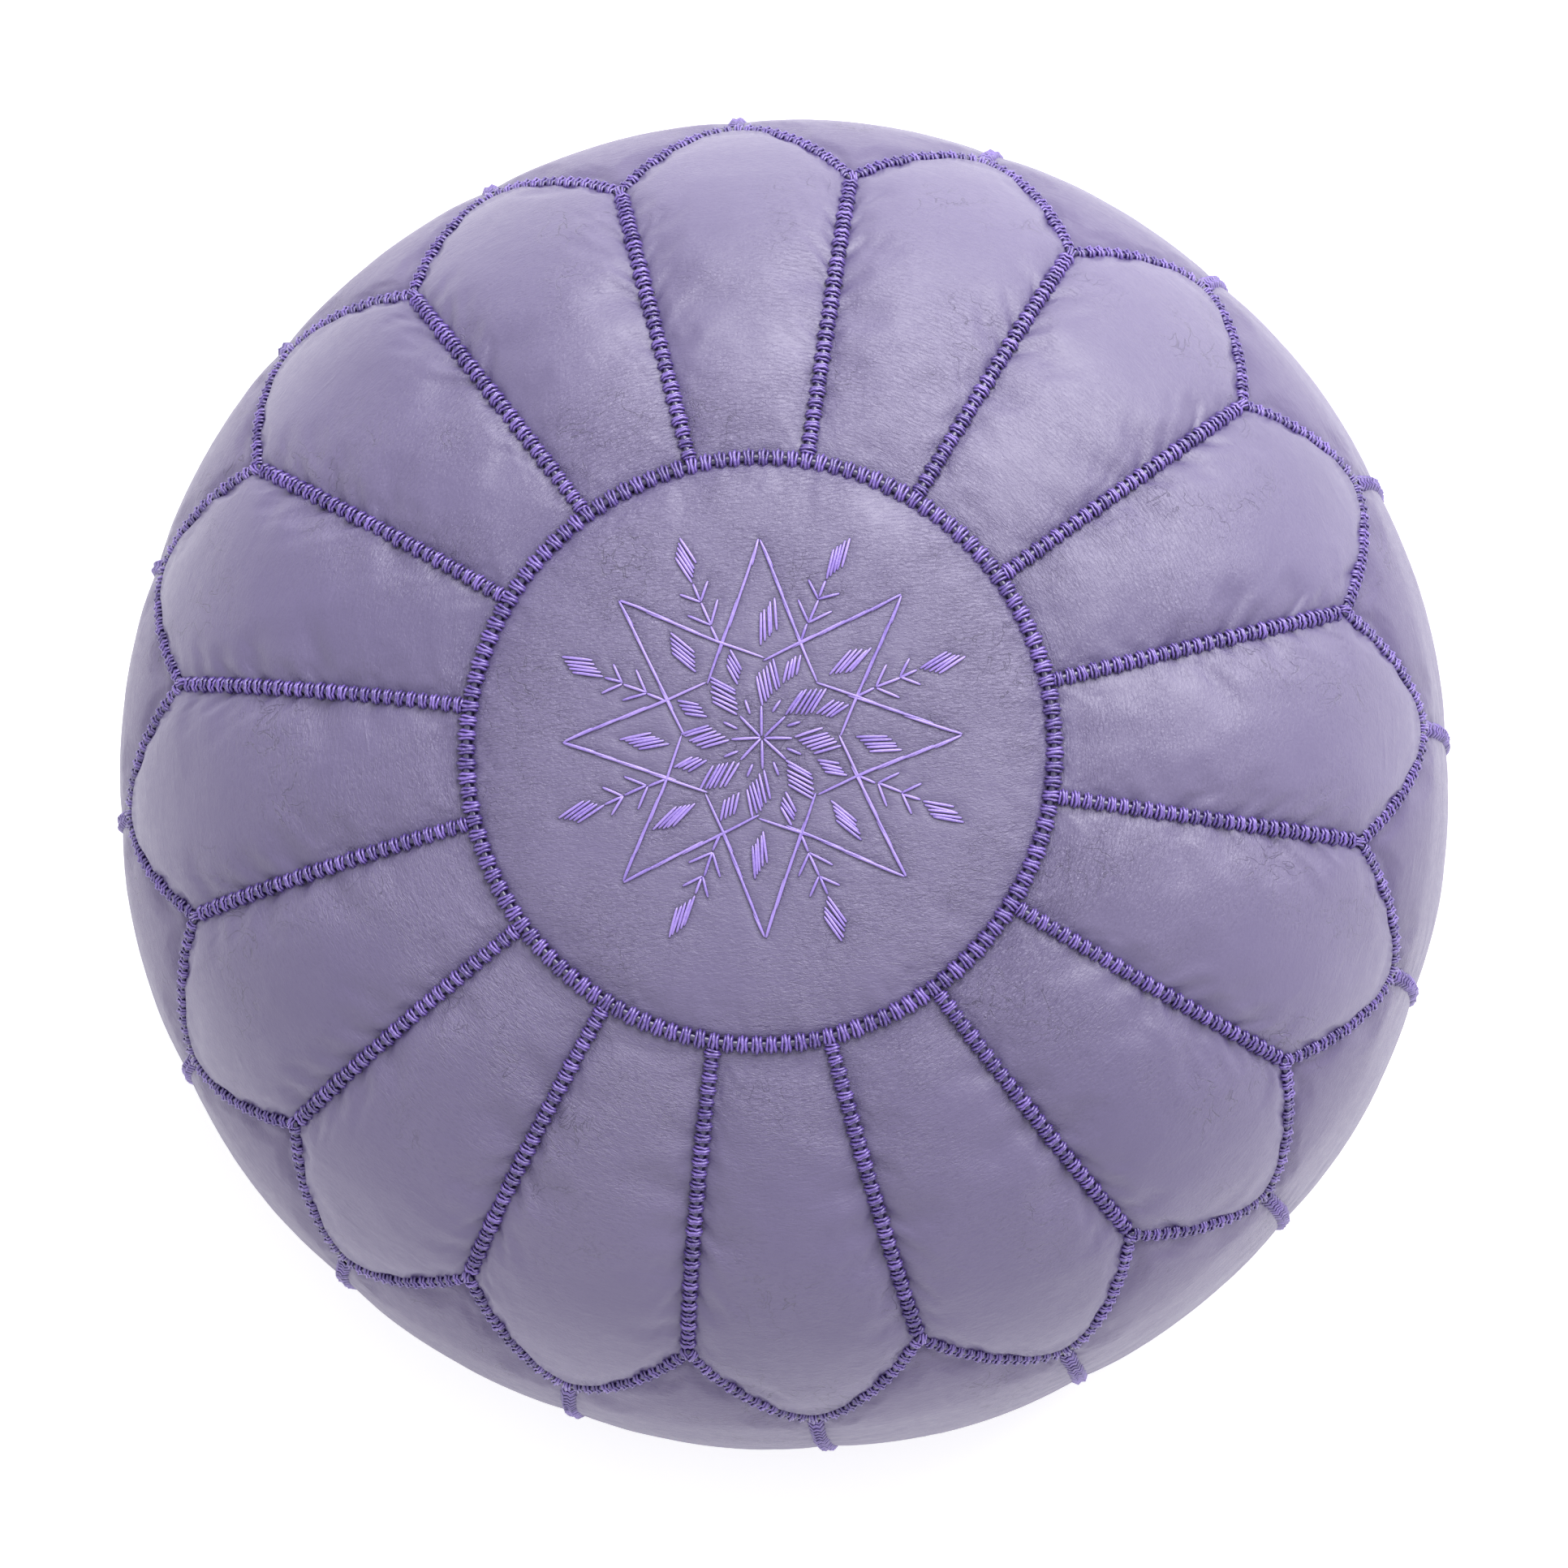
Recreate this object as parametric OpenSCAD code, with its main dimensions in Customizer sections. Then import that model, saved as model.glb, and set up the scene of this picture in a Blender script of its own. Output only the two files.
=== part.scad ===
// Moroccan leather pouf: a round floor cushion sewn from leather panels round an
// embroidered medallion, with thick corded seams, a zip in the base and a stuffed bag.
// Millimetres. Origin on the floor under the middle, +Z up, one petal tip along +X.

/* [Overall] */
// Diameter across the widest part
outer_d = 520; // [430:5:630]
// Height from the floor to the crown
outer_h = 320; // [265:5:390]
// Height of the widest part above the floor
belt_z = 155; // [130:5:185]

/* [Leather panels] */
// Number of petals round the medallion, and of side panels below them
petal_n = 16; // [12:2:18]
// Thickness of the leather
leather_t = 2; // [1.5:0.1:2.5]
// Radius of the round medallion, to the middle of its seam
medallion_r = 112; // [90:1:135]
// How far a notch between two petal tips lies inside the widest radius
notch_inset = 28.5; // [22:0.5:36]
// How far a petal tip lies inside the widest radius
tip_inset = 6.5; // [5:0.5:9]
// How full a petal's edge is between notch and tip: 1 is straight
petal_fullness = 1.25; // [1:0.05:1.6]

/* [Base] */
// How far the outer edge of the flat foot lies inside the widest radius
foot_inset = 60; // [50:1:72]
// Width of the flat foot ring
foot_w = 35; // [28:1:42]
// Width of the slope from the foot up to the recessed base disc
recess_slope_w = 22; // [18:1:27]
// Height of the recessed base disc above the floor
recess_h = 10; // [9:0.5:12]
// How far the base disc's seam lies inside the recess
base_seam_inset = 13; // [9:1:16]

/* [Seams] */
// Width of the knotted cord on the outside of a seam
cord_w = 7; // [5.5:0.5:8]
// Height that the knotted cord stands above the leather
cord_h = 3; // [2.4:0.1:3.6]
// Width of the thread wall between two panel edges
web_w = 2; // [1.6:0.1:2.4]
// Width of the stitching on the inside of a seam
inner_cord_w = 6; // [5:0.5:7]
// Thickness of the stitching on the inside of a seam
inner_cord_h = 1.2; // [1:0.1:1.4]
// Gap between thread and leather
thread_gap = 0.1; // [0.05:0.05:0.15]
// Height at which the cords of the side seams end above the floor
side_cord_end_z = 25; // [20:1:30]

/* [Embroidery] */
// Gap between the embroidery and the medallion's seam
motif_margin = 28; // [22:1:34]
// Height that a stitch stands above the leather
stitch_h = 0.9; // [0.6:0.1:1.2]
// Width of a single embroidery stitch
stitch_w = 1; // [0.7:0.1:1.2]
// Width of the star's double line
star_line_w = 2; // [1.4:0.1:2.4]

/* [Zip] */
// Width of the opening between the two base halves
zip_gap_w = 10; // [9.5:0.5:12]
// Gap between the end of the teeth and the base disc's seam
zip_end_margin = 24; // [20:1:30]
// Distance from one tooth to the next on one side
tooth_pitch = 3.2; // [2.8:0.1:3.8]
// Thickness of the teeth
tooth_t = 2.2; // [1.8:0.1:2.4]
// Width of one zip tape beside its teeth
tape_w = 14; // [12:1:18]
// Thickness of the zip tape
tape_t = 0.8; // [0.6:0.1:0.9]
// Length of the slider
slider_len = 14; // [12:1:18]
// Thickness of each of the slider's plates
slider_plate_t = 1.2; // [1:0.1:1.4]
// Length of the pull from its pin to its tip
pull_len = 22; // [18:1:24]
// Thickness of the pull
pull_t = 1.2; // [1:0.1:1.4]
// Radius of the pin that the pull swings on
pull_pin_r = 0.8; // [0.7:0.05:0.9]
// Radial clearance of the pull's eye round its pin
pull_pin_clear = 0.05; // [0.03:0.01:0.08]
// Angle that the resting pull droops below level
pull_droop = 15; // [12:1:17]

/* [Filling] */
// Gap between the leather's inside and the filling bag
bag_clear = 2.2; // [1.9:0.1:3]
// Thickness of the bag's cloth
bag_t = 0.6; // [0.4:0.1:1]
// Gap between the bag and its stuffing
stuffing_clear = 0.2; // [0.1:0.1:0.5]
// Gap between the zip slider and the filling bag
bag_zip_clear = 1.4; // [1:0.1:2]

/* [Hidden] */
// ---- skin profile -------------------------------------------------------------
R = outer_d / 2;
crown_h = outer_h - belt_z;
crown_power = 2.5;   // superellipse power of the upper half: 2 is an ellipse
belly_power = 2.2;   // the same for the lower half
crown_steps = 14;
belly_steps = 8;
slope_steps = 4;
foot_r1 = R - foot_inset;
foot_r0 = foot_r1 - foot_w;
recess_r = foot_r0 - recess_slope_w;
base_r = recess_r - base_seam_inset;

function power_arc(a, w, h, p) = [w * pow(sin(a), 2 / p), h * pow(cos(a), 2 / p)];

// Outer skin from the crown's middle, over the belt and the foot, to the base's middle
skin = concat(
    [for (i = [0:crown_steps])
        power_arc(90 * i / crown_steps, R, crown_h, crown_power) + [0, belt_z]],
    [for (i = [1:belly_steps])
        let (q = power_arc(90 - 90 * i / belly_steps, foot_inset, belt_z, belly_power))
        [foot_r1 + q[0], belt_z - q[1]]],
    [for (i = [0:slope_steps])
        [foot_r0 - recess_slope_w * i / slope_steps,
         recess_h * (1 - cos(180 * i / slope_steps)) / 2]],
    [[0, recess_h]]
);
last = len(skin) - 1;
belt_i = crown_steps;
foot_i = belt_i + belly_steps;   // outer edge of the foot

function unit(v) = v / norm(v);
// Normal of skin segment i, pointing out of the pouf
function seg_out(i) = let (v = unit(skin[i + 1] - skin[i])) [-v[1], v[0]];
// Direction and length by which vertex i moves out when the skin grows by 1
function grow(i) =
    i == 0 ? [0, 1 / seg_out(0)[1]]
    : i == last ? [0, 1 / seg_out(last - 1)[1]]
    : let (a = seg_out(i - 1), b = seg_out(i)) (a + b) / (1 + a * b);
// A point at place t along the skin (whole numbers are its vertices), d deep
function at(t, d) =
    let (i = min(floor(t), last - 1), f = t - i)
    (1 - f) * (skin[i] - d * grow(i)) + f * (skin[i + 1] - d * grow(i + 1));
// Places along the skin: above the belt by radius, below it by radius or by height
function t_top(r) = [for (i = [0:belt_i - 1])
    if (skin[i][0] <= r && r < skin[i + 1][0])
        i + (r - skin[i][0]) / (skin[i + 1][0] - skin[i][0])][0];
function t_under(r) = [for (i = [foot_i:last - 1])
    if (skin[i][0] > r && r >= skin[i + 1][0])
        i + (skin[i][0] - r) / (skin[i][0] - skin[i + 1][0])][0];
function t_belly(z) = [for (i = [belt_i:foot_i - 1])
    if (skin[i][1] > z && z >= skin[i + 1][1])
        i + (skin[i][1] - z) / (skin[i][1] - skin[i + 1][1])][0];
// The line along the skin from place a to place b, d deep
function run(a, b, d) = concat(
    [at(a, d)], [for (i = [floor(a) + 1:ceil(b) - 1]) at(i, d)], [at(b, d)]);
function backwards(v) = [for (i = [len(v) - 1:-1:0]) v[i]];

// A turned layer of the skin between places a and b, from d0 to d1 deep
module layer(a, b, d0, d1) {
    rotate_extrude($fn = 96)
        polygon(concat(run(a, b, d0), backwards(run(a, b, d1))));
}

// ---- petal layout -------------------------------------------------------------
step_a = 360 / petal_n;
half_a = step_a / 2;
far = 2 * (outer_d + outer_h);
notch_r = R - notch_inset;
tip_r = R - tip_inset;
edge_steps = 3;                     // straight pieces from a tip to a notch
edge_gap = web_w / 2 + thread_gap;  // from a seam's middle to a panel's edge
inner_d0 = leather_t + thread_gap;  // depth where the inner stitching starts
inner_d1 = inner_d0 + inner_cord_h;
lap = 0.4;                          // how far pieces of one seam run into each other

// Radius and place of the scalloped line, u from 0 at a tip to 1 at a notch
function scallop_r(u) = tip_r - (tip_r - notch_r) * pow(u, petal_fullness);
function scallop_pt(a) =
    let (k = a / step_a, u = 2 * abs(k - round(k)), r = scallop_r(u))
    [r * cos(a), r * sin(a), at(t_top(r), 0)[1]];
hub = [0, 0, belt_z];
// How far a surface through the scallop is lifted to move its edge sideways by w
edge_chord = scallop_pt(half_a) - scallop_pt(0);
edge_rise = abs(edge_chord[2]) / norm([edge_chord[0], edge_chord[1]]);
function lift(w) = w * sqrt(1 + edge_rise * edge_rise);

// A fan of surfaces from the hub out through the scallop, made a solid between
// two lifts: it is all above the line, all below it, or a thin slab along it
module fan_block(a0, low, high) {
    n = 2 * edge_steps;
    rim = [for (j = [0:n]) hub + 1.2 * (scallop_pt(a0 - half_a + step_a * j / n) - hub)];
    ring = concat([hub], rim);
    m = len(ring);
    polyhedron(
        points = concat([for (q = ring) q + [0, 0, low]], [for (q = ring) q + [0, 0, high]]),
        faces = concat(
            [for (j = [1:n]) [0, j, j + 1]],
            [for (j = [1:n]) [m, m + j + 1, m + j]],
            [for (j = [1:n]) each [[j, m + j, m + j + 1], [j, m + j + 1, j + 1]]],
            [[0, m + 1, 1], [0, m, m + 1], [0, m - 1, 2 * m - 1], [0, 2 * m - 1, m]]
        )
    );
}

// The same slab all the way round, hollow in the middle
module scallop_slab(w) {
    n = 2 * edge_steps * petal_n;
    pts = [for (j = [0:n - 1]) scallop_pt(360 * j / n) - hub];
    function loop(k, z) = [for (q = pts) hub + k * q + [0, 0, z]];
    polyhedron(
        points = concat(loop(0.9, -lift(w)), loop(1.1, -lift(w)),
                        loop(1.1, lift(w)), loop(0.9, lift(w))),
        faces = [for (s = [0:3], j = [0:n - 1])
            let (t = (s + 1) % 4, k = (j + 1) % n)
            each [[s * n + j, t * n + j, t * n + k], [s * n + j, t * n + k, s * n + k]]]
    );
}

// A sector of plan, drawn in from both of its straight sides by gap
module sector(a0, gap) {
    rotate([0, 0, a0])
        translate([gap / sin(half_a), 0, -1])
            linear_extrude(outer_h + 20)
                polygon([[0, 0], far * [cos(half_a), -sin(half_a)],
                         far * [cos(half_a), sin(half_a)]]);
}

// An upright wall of width w, out from the middle at angle a0
module wall(a0, w) {
    rotate([0, 0, a0])
        translate([0, -w / 2, -1])
            cube([far, w, outer_h + 20]);
}

// ---- seam sections ------------------------------------------------------------
cord_low = cord_h * 0.55;   // height of the cord's full-width part
cord_top_w = cord_w * 0.6;  // width of its rounded top
join_gap = thread_gap;      // gap where one seam ends on another

// ---- leather ------------------------------------------------------------------
leather = "#8b82a3";
thread_c = "#5a4d86";

module top_medallion() {
    color(leather) layer(0, t_top(medallion_r - edge_gap), 0, leather_t);
}

module top_petal(k) {
    a0 = step_a * k;
    color(leather) intersection() {
        layer(t_top(medallion_r + edge_gap), belt_i, 0, leather_t);
        sector(a0, edge_gap);
        fan_block(a0, lift(edge_gap), far);
    }
}

module side_panel(k) {
    a0 = step_a * (k + 0.5);
    color(leather) intersection() {
        layer(t_top(notch_r) - 1, t_under(base_r + edge_gap), 0, leather_t);
        sector(a0, edge_gap);
        fan_block(a0, -far, -lift(edge_gap));
    }
}

// Half of the base disc, on the side of y given by side
module bottom_half(side) {
    color(leather) intersection() {
        layer(t_under(base_r - edge_gap), last, 0, leather_t);
        translate([-far / 2, side > 0 ? zip_gap_w / 2 : -far - zip_gap_w / 2, 0])
            cube([far, far, outer_h / 2]);
    }
}

// ---- seams --------------------------------------------------------------------
// A round seam, given by the places of its edges along the skin: the wall between the
// panels, both steps of the outside cord, and the stitching inside
module ring_seam(t0, t1, cord0, cord1, top0, top1, in0, in1) {
    layer(cord0, cord1, -cord_low, -thread_gap);
    layer(top0, top1, -cord_h, -cord_low + lap);
    layer(t0, t1, -cord_low + lap, inner_d0 + lap);
    layer(in0, in1, inner_d0, inner_d1);
}

module medallion_ring_seam() {
    r = medallion_r;
    color(thread_c) ring_seam(
        t_top(r - web_w / 2), t_top(r + web_w / 2),
        t_top(r - cord_w / 2), t_top(r + cord_w / 2),
        t_top(r - cord_top_w / 2), t_top(r + cord_top_w / 2),
        t_top(r - inner_cord_w / 2), t_top(r + inner_cord_w / 2));
}

module base_ring_seam() {
    r = base_r;
    color(thread_c) ring_seam(
        t_under(r + web_w / 2), t_under(r - web_w / 2),
        t_under(r + cord_w / 2), t_under(r - cord_w / 2),
        t_under(r + cord_top_w / 2), t_under(r - cord_top_w / 2),
        t_under(r + inner_cord_w / 2), t_under(r - inner_cord_w / 2));
}

// One petal seam's layer of width w, clear of the ring seam's width over_w
module petal_seam_layer(a0, w, over_w, d0, d1) {
    intersection() {
        layer(t_top(medallion_r + over_w / 2 + join_gap), t_top(tip_r), d0, d1);
        wall(a0, w);
        fan_block(a0, lift(over_w / 2 + join_gap), far);
    }
}

module petal_seams() {
    color(thread_c) for (k = [0:petal_n - 1]) {
        a0 = step_a * (k + 0.5);
        petal_seam_layer(a0, cord_w, cord_w, -cord_low, -thread_gap);
        petal_seam_layer(a0, cord_top_w, cord_w, -cord_h, -cord_low + lap);
        petal_seam_layer(a0, web_w, cord_w, -cord_low + lap, inner_d0 + lap);
        petal_seam_layer(a0, inner_cord_w, cord_w, inner_d0, inner_d1);
    }
}

module scallop_seam() {
    t0 = t_top(notch_r) - 1;
    color(thread_c) {
        intersection() {
            layer(t0, belt_i, -cord_low, -thread_gap);
            scallop_slab(cord_w / 2);
        }
        intersection() {
            layer(t0, belt_i, -cord_h, -cord_low + lap);
            scallop_slab(cord_top_w / 2);
        }
        intersection() {
            layer(t0, belt_i, -cord_low + lap, inner_d0 + lap);
            scallop_slab(web_w / 2);
        }
        intersection() {
            layer(t0, belt_i, inner_d0, inner_d1);
            scallop_slab(inner_cord_w / 2);
        }
    }
}

// One side seam's layer of width w, from below the scallop down to place t1
module side_seam_layer(a0, w, t1, d0, d1) {
    intersection() {
        layer(t_top(notch_r), t1, d0, d1);
        wall(a0, w);
        fan_block(a0, -far, -lift(cord_w / 2 + join_gap));
    }
}

module side_seams() {
    cord_end = t_belly(side_cord_end_z);
    end = t_under(base_r + cord_w / 2 + join_gap);
    color(thread_c) for (k = [0:petal_n - 1]) {
        a0 = step_a * k;
        side_seam_layer(a0, cord_w, cord_end, -cord_low, -thread_gap);
        side_seam_layer(a0, cord_top_w, cord_end, -cord_h, -cord_low + lap);
        side_seam_layer(a0, web_w, cord_end, -cord_low + lap, lap);
        side_seam_layer(a0, web_w, end, 2 * thread_gap, inner_d0 + lap);
        side_seam_layer(a0, inner_cord_w, end, inner_d0, inner_d1);
    }
}

// ---- embroidery ---------------------------------------------------------------
motif_r = medallion_r - motif_margin;
star_r = 0.952 * motif_r;        // radius of the star's eight tips
star_waist_r = 0.393 * motif_r;  // nearest that the star's lines come to the middle
star_stitches = 14;              // stitches along one line of the star
stitch_gap = 0.8;                // bare leather between two stitches in a row
motif_t = t_top(motif_r + 4);

// One stitch in plan from p to q, w wide, with pointed ends
module stitch(p, q, w) {
    v = unit(q - p);
    s = [-v[1], v[0]] * w / 2;
    polygon([p, p + v * w / 2 + s, q - v * w / 2 + s, q, q - v * w / 2 - s, p + v * w / 2 - s]);
}

// A leaf of n slanting stitches side by side, from radius r0 to r1, w wide in all
module leaf(r0, r1, w, n, slant) {
    pitch = w / n;
    for (i = [0:n - 1]) {
        y = (i - (n - 1) / 2) * pitch;
        short = 0.75 * abs(i - (n - 1) / 2) / n * (r1 - r0);
        stitch([r0 + short * (y > 0 ? 0.3 : 1), y], [r1 - short * (y > 0 ? 1 : 0.3), y + slant],
               min(stitch_w, pitch - 0.15));
    }
}

// Stitches cut from a thin layer that lies on the leather
module on_medallion() {
    intersection() {
        layer(0, motif_t, -thread_gap - stitch_h, -thread_gap);
        translate([0, 0, belt_z]) linear_extrude(outer_h) children();
    }
}

module star_outline() {
    tip = star_r / sqrt(2);
    c = (star_r * star_r - star_waist_r * star_waist_r) / (2 * (tip - star_waist_r));
    arc_r = c - star_waist_r;
    half = atan2(tip, c - tip);
    function on_arc(f) = let (a = 180 + half * (2 * f - 1)) [c + arc_r * cos(a), arc_r * sin(a)];
    color(thread_c) on_medallion() for (k = [0:7], i = [0:star_stitches - 1])
        let (p = on_arc(i / star_stitches), q = on_arc((i + 1) / star_stitches), v = unit(q - p))
        rotate([0, 0, 45 * k])
            stitch(p + v * stitch_gap / 2, q - v * stitch_gap / 2, star_line_w);
}

module leaf_stitches() {
    m = motif_r;
    color(thread_c) on_medallion() for (k = [0:7]) {
        rotate([0, 0, 45 * k]) {
            stitch([0.02 * m, 0], [0.12 * m, 0], stitch_w);
            leaf(0.145 * m, 0.36 * m, 0.1 * m, 6, -0.02 * m);
            leaf(0.45 * m, 0.6 * m, 0.072 * m, 6, 0.015 * m);
        }
        rotate([0, 0, 45 * k + 22.5]) {
            stitch([0.135 * m, 0], [0.19 * m, 0], stitch_w);
            leaf(0.27 * m, 0.4 * m, 0.06 * m, 4, 0);
        }
    }
}

module sprig_stitches() {
    m = motif_r;
    color(thread_c) on_medallion() for (k = [0:7]) rotate([0, 0, 45 * k + 22.5]) {
        stitch([0.53 * m, 0], [0.6 * m, 0], stitch_w);
        stitch([0.61 * m, 0], [0.7 * m, 0], stitch_w);
        stitch([0.71 * m, 0], [0.79 * m, 0], stitch_w);
        for (s = [-1, 1]) {
            stitch([0.6 * m, s * 0.012 * m], [0.67 * m, s * 0.085 * m], stitch_w);
            stitch([0.72 * m, s * 0.012 * m], [0.785 * m, s * 0.075 * m], stitch_w);
        }
        leaf(0.8 * m, 1.0 * m, 0.075 * m, 5, 0);
    }
}

// ---- zip ----------------------------------------------------------------------
teeth_half = base_r - zip_end_margin;          // from the middle to the last tooth
channel = 0.6;                                 // half the channel between the teeth
tooth_y = 2.6;                                 // where a tooth meets its cord
edge_cord_y = 3.2;                             // outer side of the cord
zip_z = recess_h + leather_t + thread_gap + tape_t / 2;  // middle of the tape
run_clear = 0.35;                              // slider to teeth and tape
stop_len = 3;
stop_rise = 0.2;                               // a stop beyond the teeth, above and below
tape_end = 12;                                 // tape past the last tooth
slider_half_w = zip_gap_w / 2 - 0.6;
plate_out_z = zip_z - tooth_t / 2 - run_clear;
plate_in_z = zip_z + tooth_t / 2 + run_clear;
slider_x1 = teeth_half - 1;
slider_x = slider_x1 - slider_len / 2;
slider_travel = 2 * teeth_half - slider_len - 2;
shoulder_l = 2;                                // length of a slider plate's slanted ends
cheek_y = 2.2;
cheek_t = 1;
eye_r = pull_pin_r + pull_pin_clear + 1;
pull_hole_r = 1.6;
pull_hole_end = 4;                             // from the pull's tip to the middle of its hole
pin_z = plate_out_z - slider_plate_t - eye_r - 0.5;
metal = "#b09a62";
tape_c = "#4c4363";

module zip_tape(side) {
    y0 = edge_cord_y + thread_gap / 2;
    color(tape_c)
        translate([-teeth_half - tape_end, side > 0 ? y0 : -y0 - tape_w, zip_z - tape_t / 2])
            cube([2 * (teeth_half + tape_end), tape_w, tape_t]);
}

// A row of teeth on the cord that holds them, as one comb-shaped outline
module zip_teeth(side) {
    n = floor(2 * teeth_half / tooth_pitch) - 1;
    tooth_w = tooth_pitch / 2 - 0.1;
    x0 = -n * tooth_pitch / 2 + (side > 0 ? tooth_pitch / 4 : -tooth_pitch / 4);
    outline = concat(
        [[-teeth_half, edge_cord_y], [-teeth_half, tooth_y]],
        [for (i = [0:n]) let (x = x0 + i * tooth_pitch)
            each [[x - tooth_w / 2, tooth_y], [x - tooth_w / 2, channel + 0.4],
                  [x - tooth_w / 4, channel], [x + tooth_w / 4, channel],
                  [x + tooth_w / 2, channel + 0.4], [x + tooth_w / 2, tooth_y]]],
        [[teeth_half, tooth_y], [teeth_half, edge_cord_y]]);
    color(metal)
        translate([0, 0, zip_z - tooth_t / 2])
            linear_extrude(tooth_t)
                polygon([for (q = outline) [q[0], side * q[1]]]);
}

module zip_stop(x) {
    color(metal)
        translate([x, -edge_cord_y, zip_z - tooth_t / 2 - stop_rise])
            cube([stop_len, 2 * edge_cord_y, tooth_t + 2 * stop_rise]);
}

module zip_slider() {
    blade_t = 2 * (channel - run_clear);
    flange_h = 0.6;      // lips along the plates that hold the teeth in
    flange_t = 0.5;
    cheek_half = 1.4;    // half the length of the cheeks that hold the pin
    color(metal) union() {
        for (z = [plate_out_z - slider_plate_t, plate_in_z])
            translate([slider_x, 0, z]) linear_extrude(slider_plate_t) slider_outline();
        translate([slider_x - 1, -blade_t / 2, plate_out_z - lap])
            cube([slider_len / 2, blade_t, plate_in_z - plate_out_z + 2 * lap]);
        for (s = [-1, 1]) {
            for (z = [plate_out_z - lap, plate_in_z - flange_h])
                translate([slider_x - slider_len / 2 + shoulder_l,
                           s * (slider_half_w - flange_t / 2) - flange_t / 2, z])
                    cube([slider_len - 2 * shoulder_l, flange_t, flange_h + lap]);
            translate([slider_x - cheek_half,
                       s * (cheek_y + cheek_t / 2) - cheek_t / 2, pin_z - cheek_half])
                cube([2 * cheek_half, cheek_t,
                      plate_out_z - slider_plate_t - pin_z + cheek_half + lap]);
        }
        translate([slider_x, 0, pin_z]) rotate([90, 0, 0])
            cylinder(h = 2 * cheek_y + 2 * lap, r = pull_pin_r, center = true, $fn = 48);
    }
}

// Plan of a slider plate: wide at its shoulders, narrower at the closed end
module slider_outline() {
    h = slider_len / 2;
    w = slider_half_w;
    polygon([[-h, -w * 0.7], [-h + shoulder_l, -w], [h - shoulder_l, -w], [h, -w * 0.85],
             [h, w * 0.85], [h - shoulder_l, w], [-h + shoulder_l, w], [-h, w * 0.7]]);
}

module zip_pull() {
    eye_w = 2 * (cheek_y - 0.4);
    color(metal) translate([slider_x, 0, pin_z]) rotate([0, -pull_droop, 0]) difference() {
        union() {
            rotate([90, 0, 0]) cylinder(h = eye_w, r = eye_r, center = true, $fn = 48);
            translate([0, 0, -pull_t / 2]) linear_extrude(pull_t) pull_outline(eye_w);
        }
        rotate([90, 0, 0])
            cylinder(h = eye_w + 2, r = pull_pin_r + pull_pin_clear, center = true, $fn = 48);
        translate([-pull_len + pull_hole_end, 0, -pull_t])
            cylinder(h = 2 * pull_t, r = pull_hole_r, $fn = 32);
    }
}

// Plan of the pull: a narrow neck that widens to a rounded tab
module pull_outline(neck_w) {
    tab_w = 7;
    neck_l = 8;          // length of the narrow neck
    widen_l = 12;        // where the tab has its full width
    union() {
        polygon([[0, -neck_w / 2], [0, neck_w / 2], [-neck_l, neck_w / 2], [-widen_l, tab_w / 2],
                 [-pull_len + tab_w / 2, tab_w / 2], [-pull_len + tab_w / 2, -tab_w / 2],
                 [-widen_l, -tab_w / 2], [-neck_l, -neck_w / 2]]);
        translate([-pull_len + tab_w / 2, 0]) circle(d = tab_w, $fn = 48);
    }
}

// ---- filling ------------------------------------------------------------------
bag_d = inner_d1 + bag_clear - leather_t / 2;
bag_floor_z = plate_in_z + slider_plate_t + bag_zip_clear;

// Half profile of the filling, d deep, flat above the zip
function filling(d, floor_z) = concat(
    run(0, foot_i + 1, d),
    [[foot_r0 - recess_slope_w * 0.7, floor_z], [0, floor_z]]);

module filling_bag() {
    inside = filling(bag_d + bag_t, bag_floor_z + bag_t);
    color("#cfc8b4") rotate_extrude($fn = 96)
        polygon(concat(filling(bag_d, bag_floor_z), backwards(inside)));
}

module stuffing() {
    color("#ece6d8") rotate_extrude($fn = 96)
        polygon(filling(bag_d + bag_t + stuffing_clear, bag_floor_z + bag_t + stuffing_clear));
}

// ---- nodes --------------------------------------------------------------------
function two(k) = str(k < 9 ? "0" : "", k + 1);
PETALS = [for (k = [0:petal_n - 1]) str("top_petal_", two(k))];
SIDES = [for (k = [0:petal_n - 1]) str("side_panel_", two(k))];

top_medallion();
for (k = [0:petal_n - 1]) {
    top_petal(k);
    side_panel(k);
}
bottom_half(1);  // bottom_half_left
bottom_half(-1);  // bottom_half_right
medallion_ring_seam();
petal_seams();
scallop_seam();
side_seams();
base_ring_seam();
star_outline();
leaf_stitches();
sprig_stitches();
zip_tape(1);  // zip_tape_left
zip_tape(-1);  // zip_tape_right
zip_teeth(1);  // zip_teeth_left
zip_teeth(-1);  // zip_teeth_right
zip_stop(teeth_half);  // zip_top_stop
zip_stop(-teeth_half - stop_len);  // zip_bottom_stop
zip_slider();
zip_pull();
filling_bag();
stuffing();
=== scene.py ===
# %% [markdown]
# # A leather pouf, sewn and stuffed
# This lesson builds a round leather floor cushion. Its skin is sewn from a round
# medallion, sixteen petals and sixteen side panels, all joined by thick knotted cords,
# and a star is embroidered on the medallion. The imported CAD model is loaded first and
# stays as it is: the sizes below are read from it or repeat its rules.

# %% Load the fixed frame
import math
import bmesh
import bpy
import numpy as np
from mathutils import Matrix, Vector, bvhtree, kdtree


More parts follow.
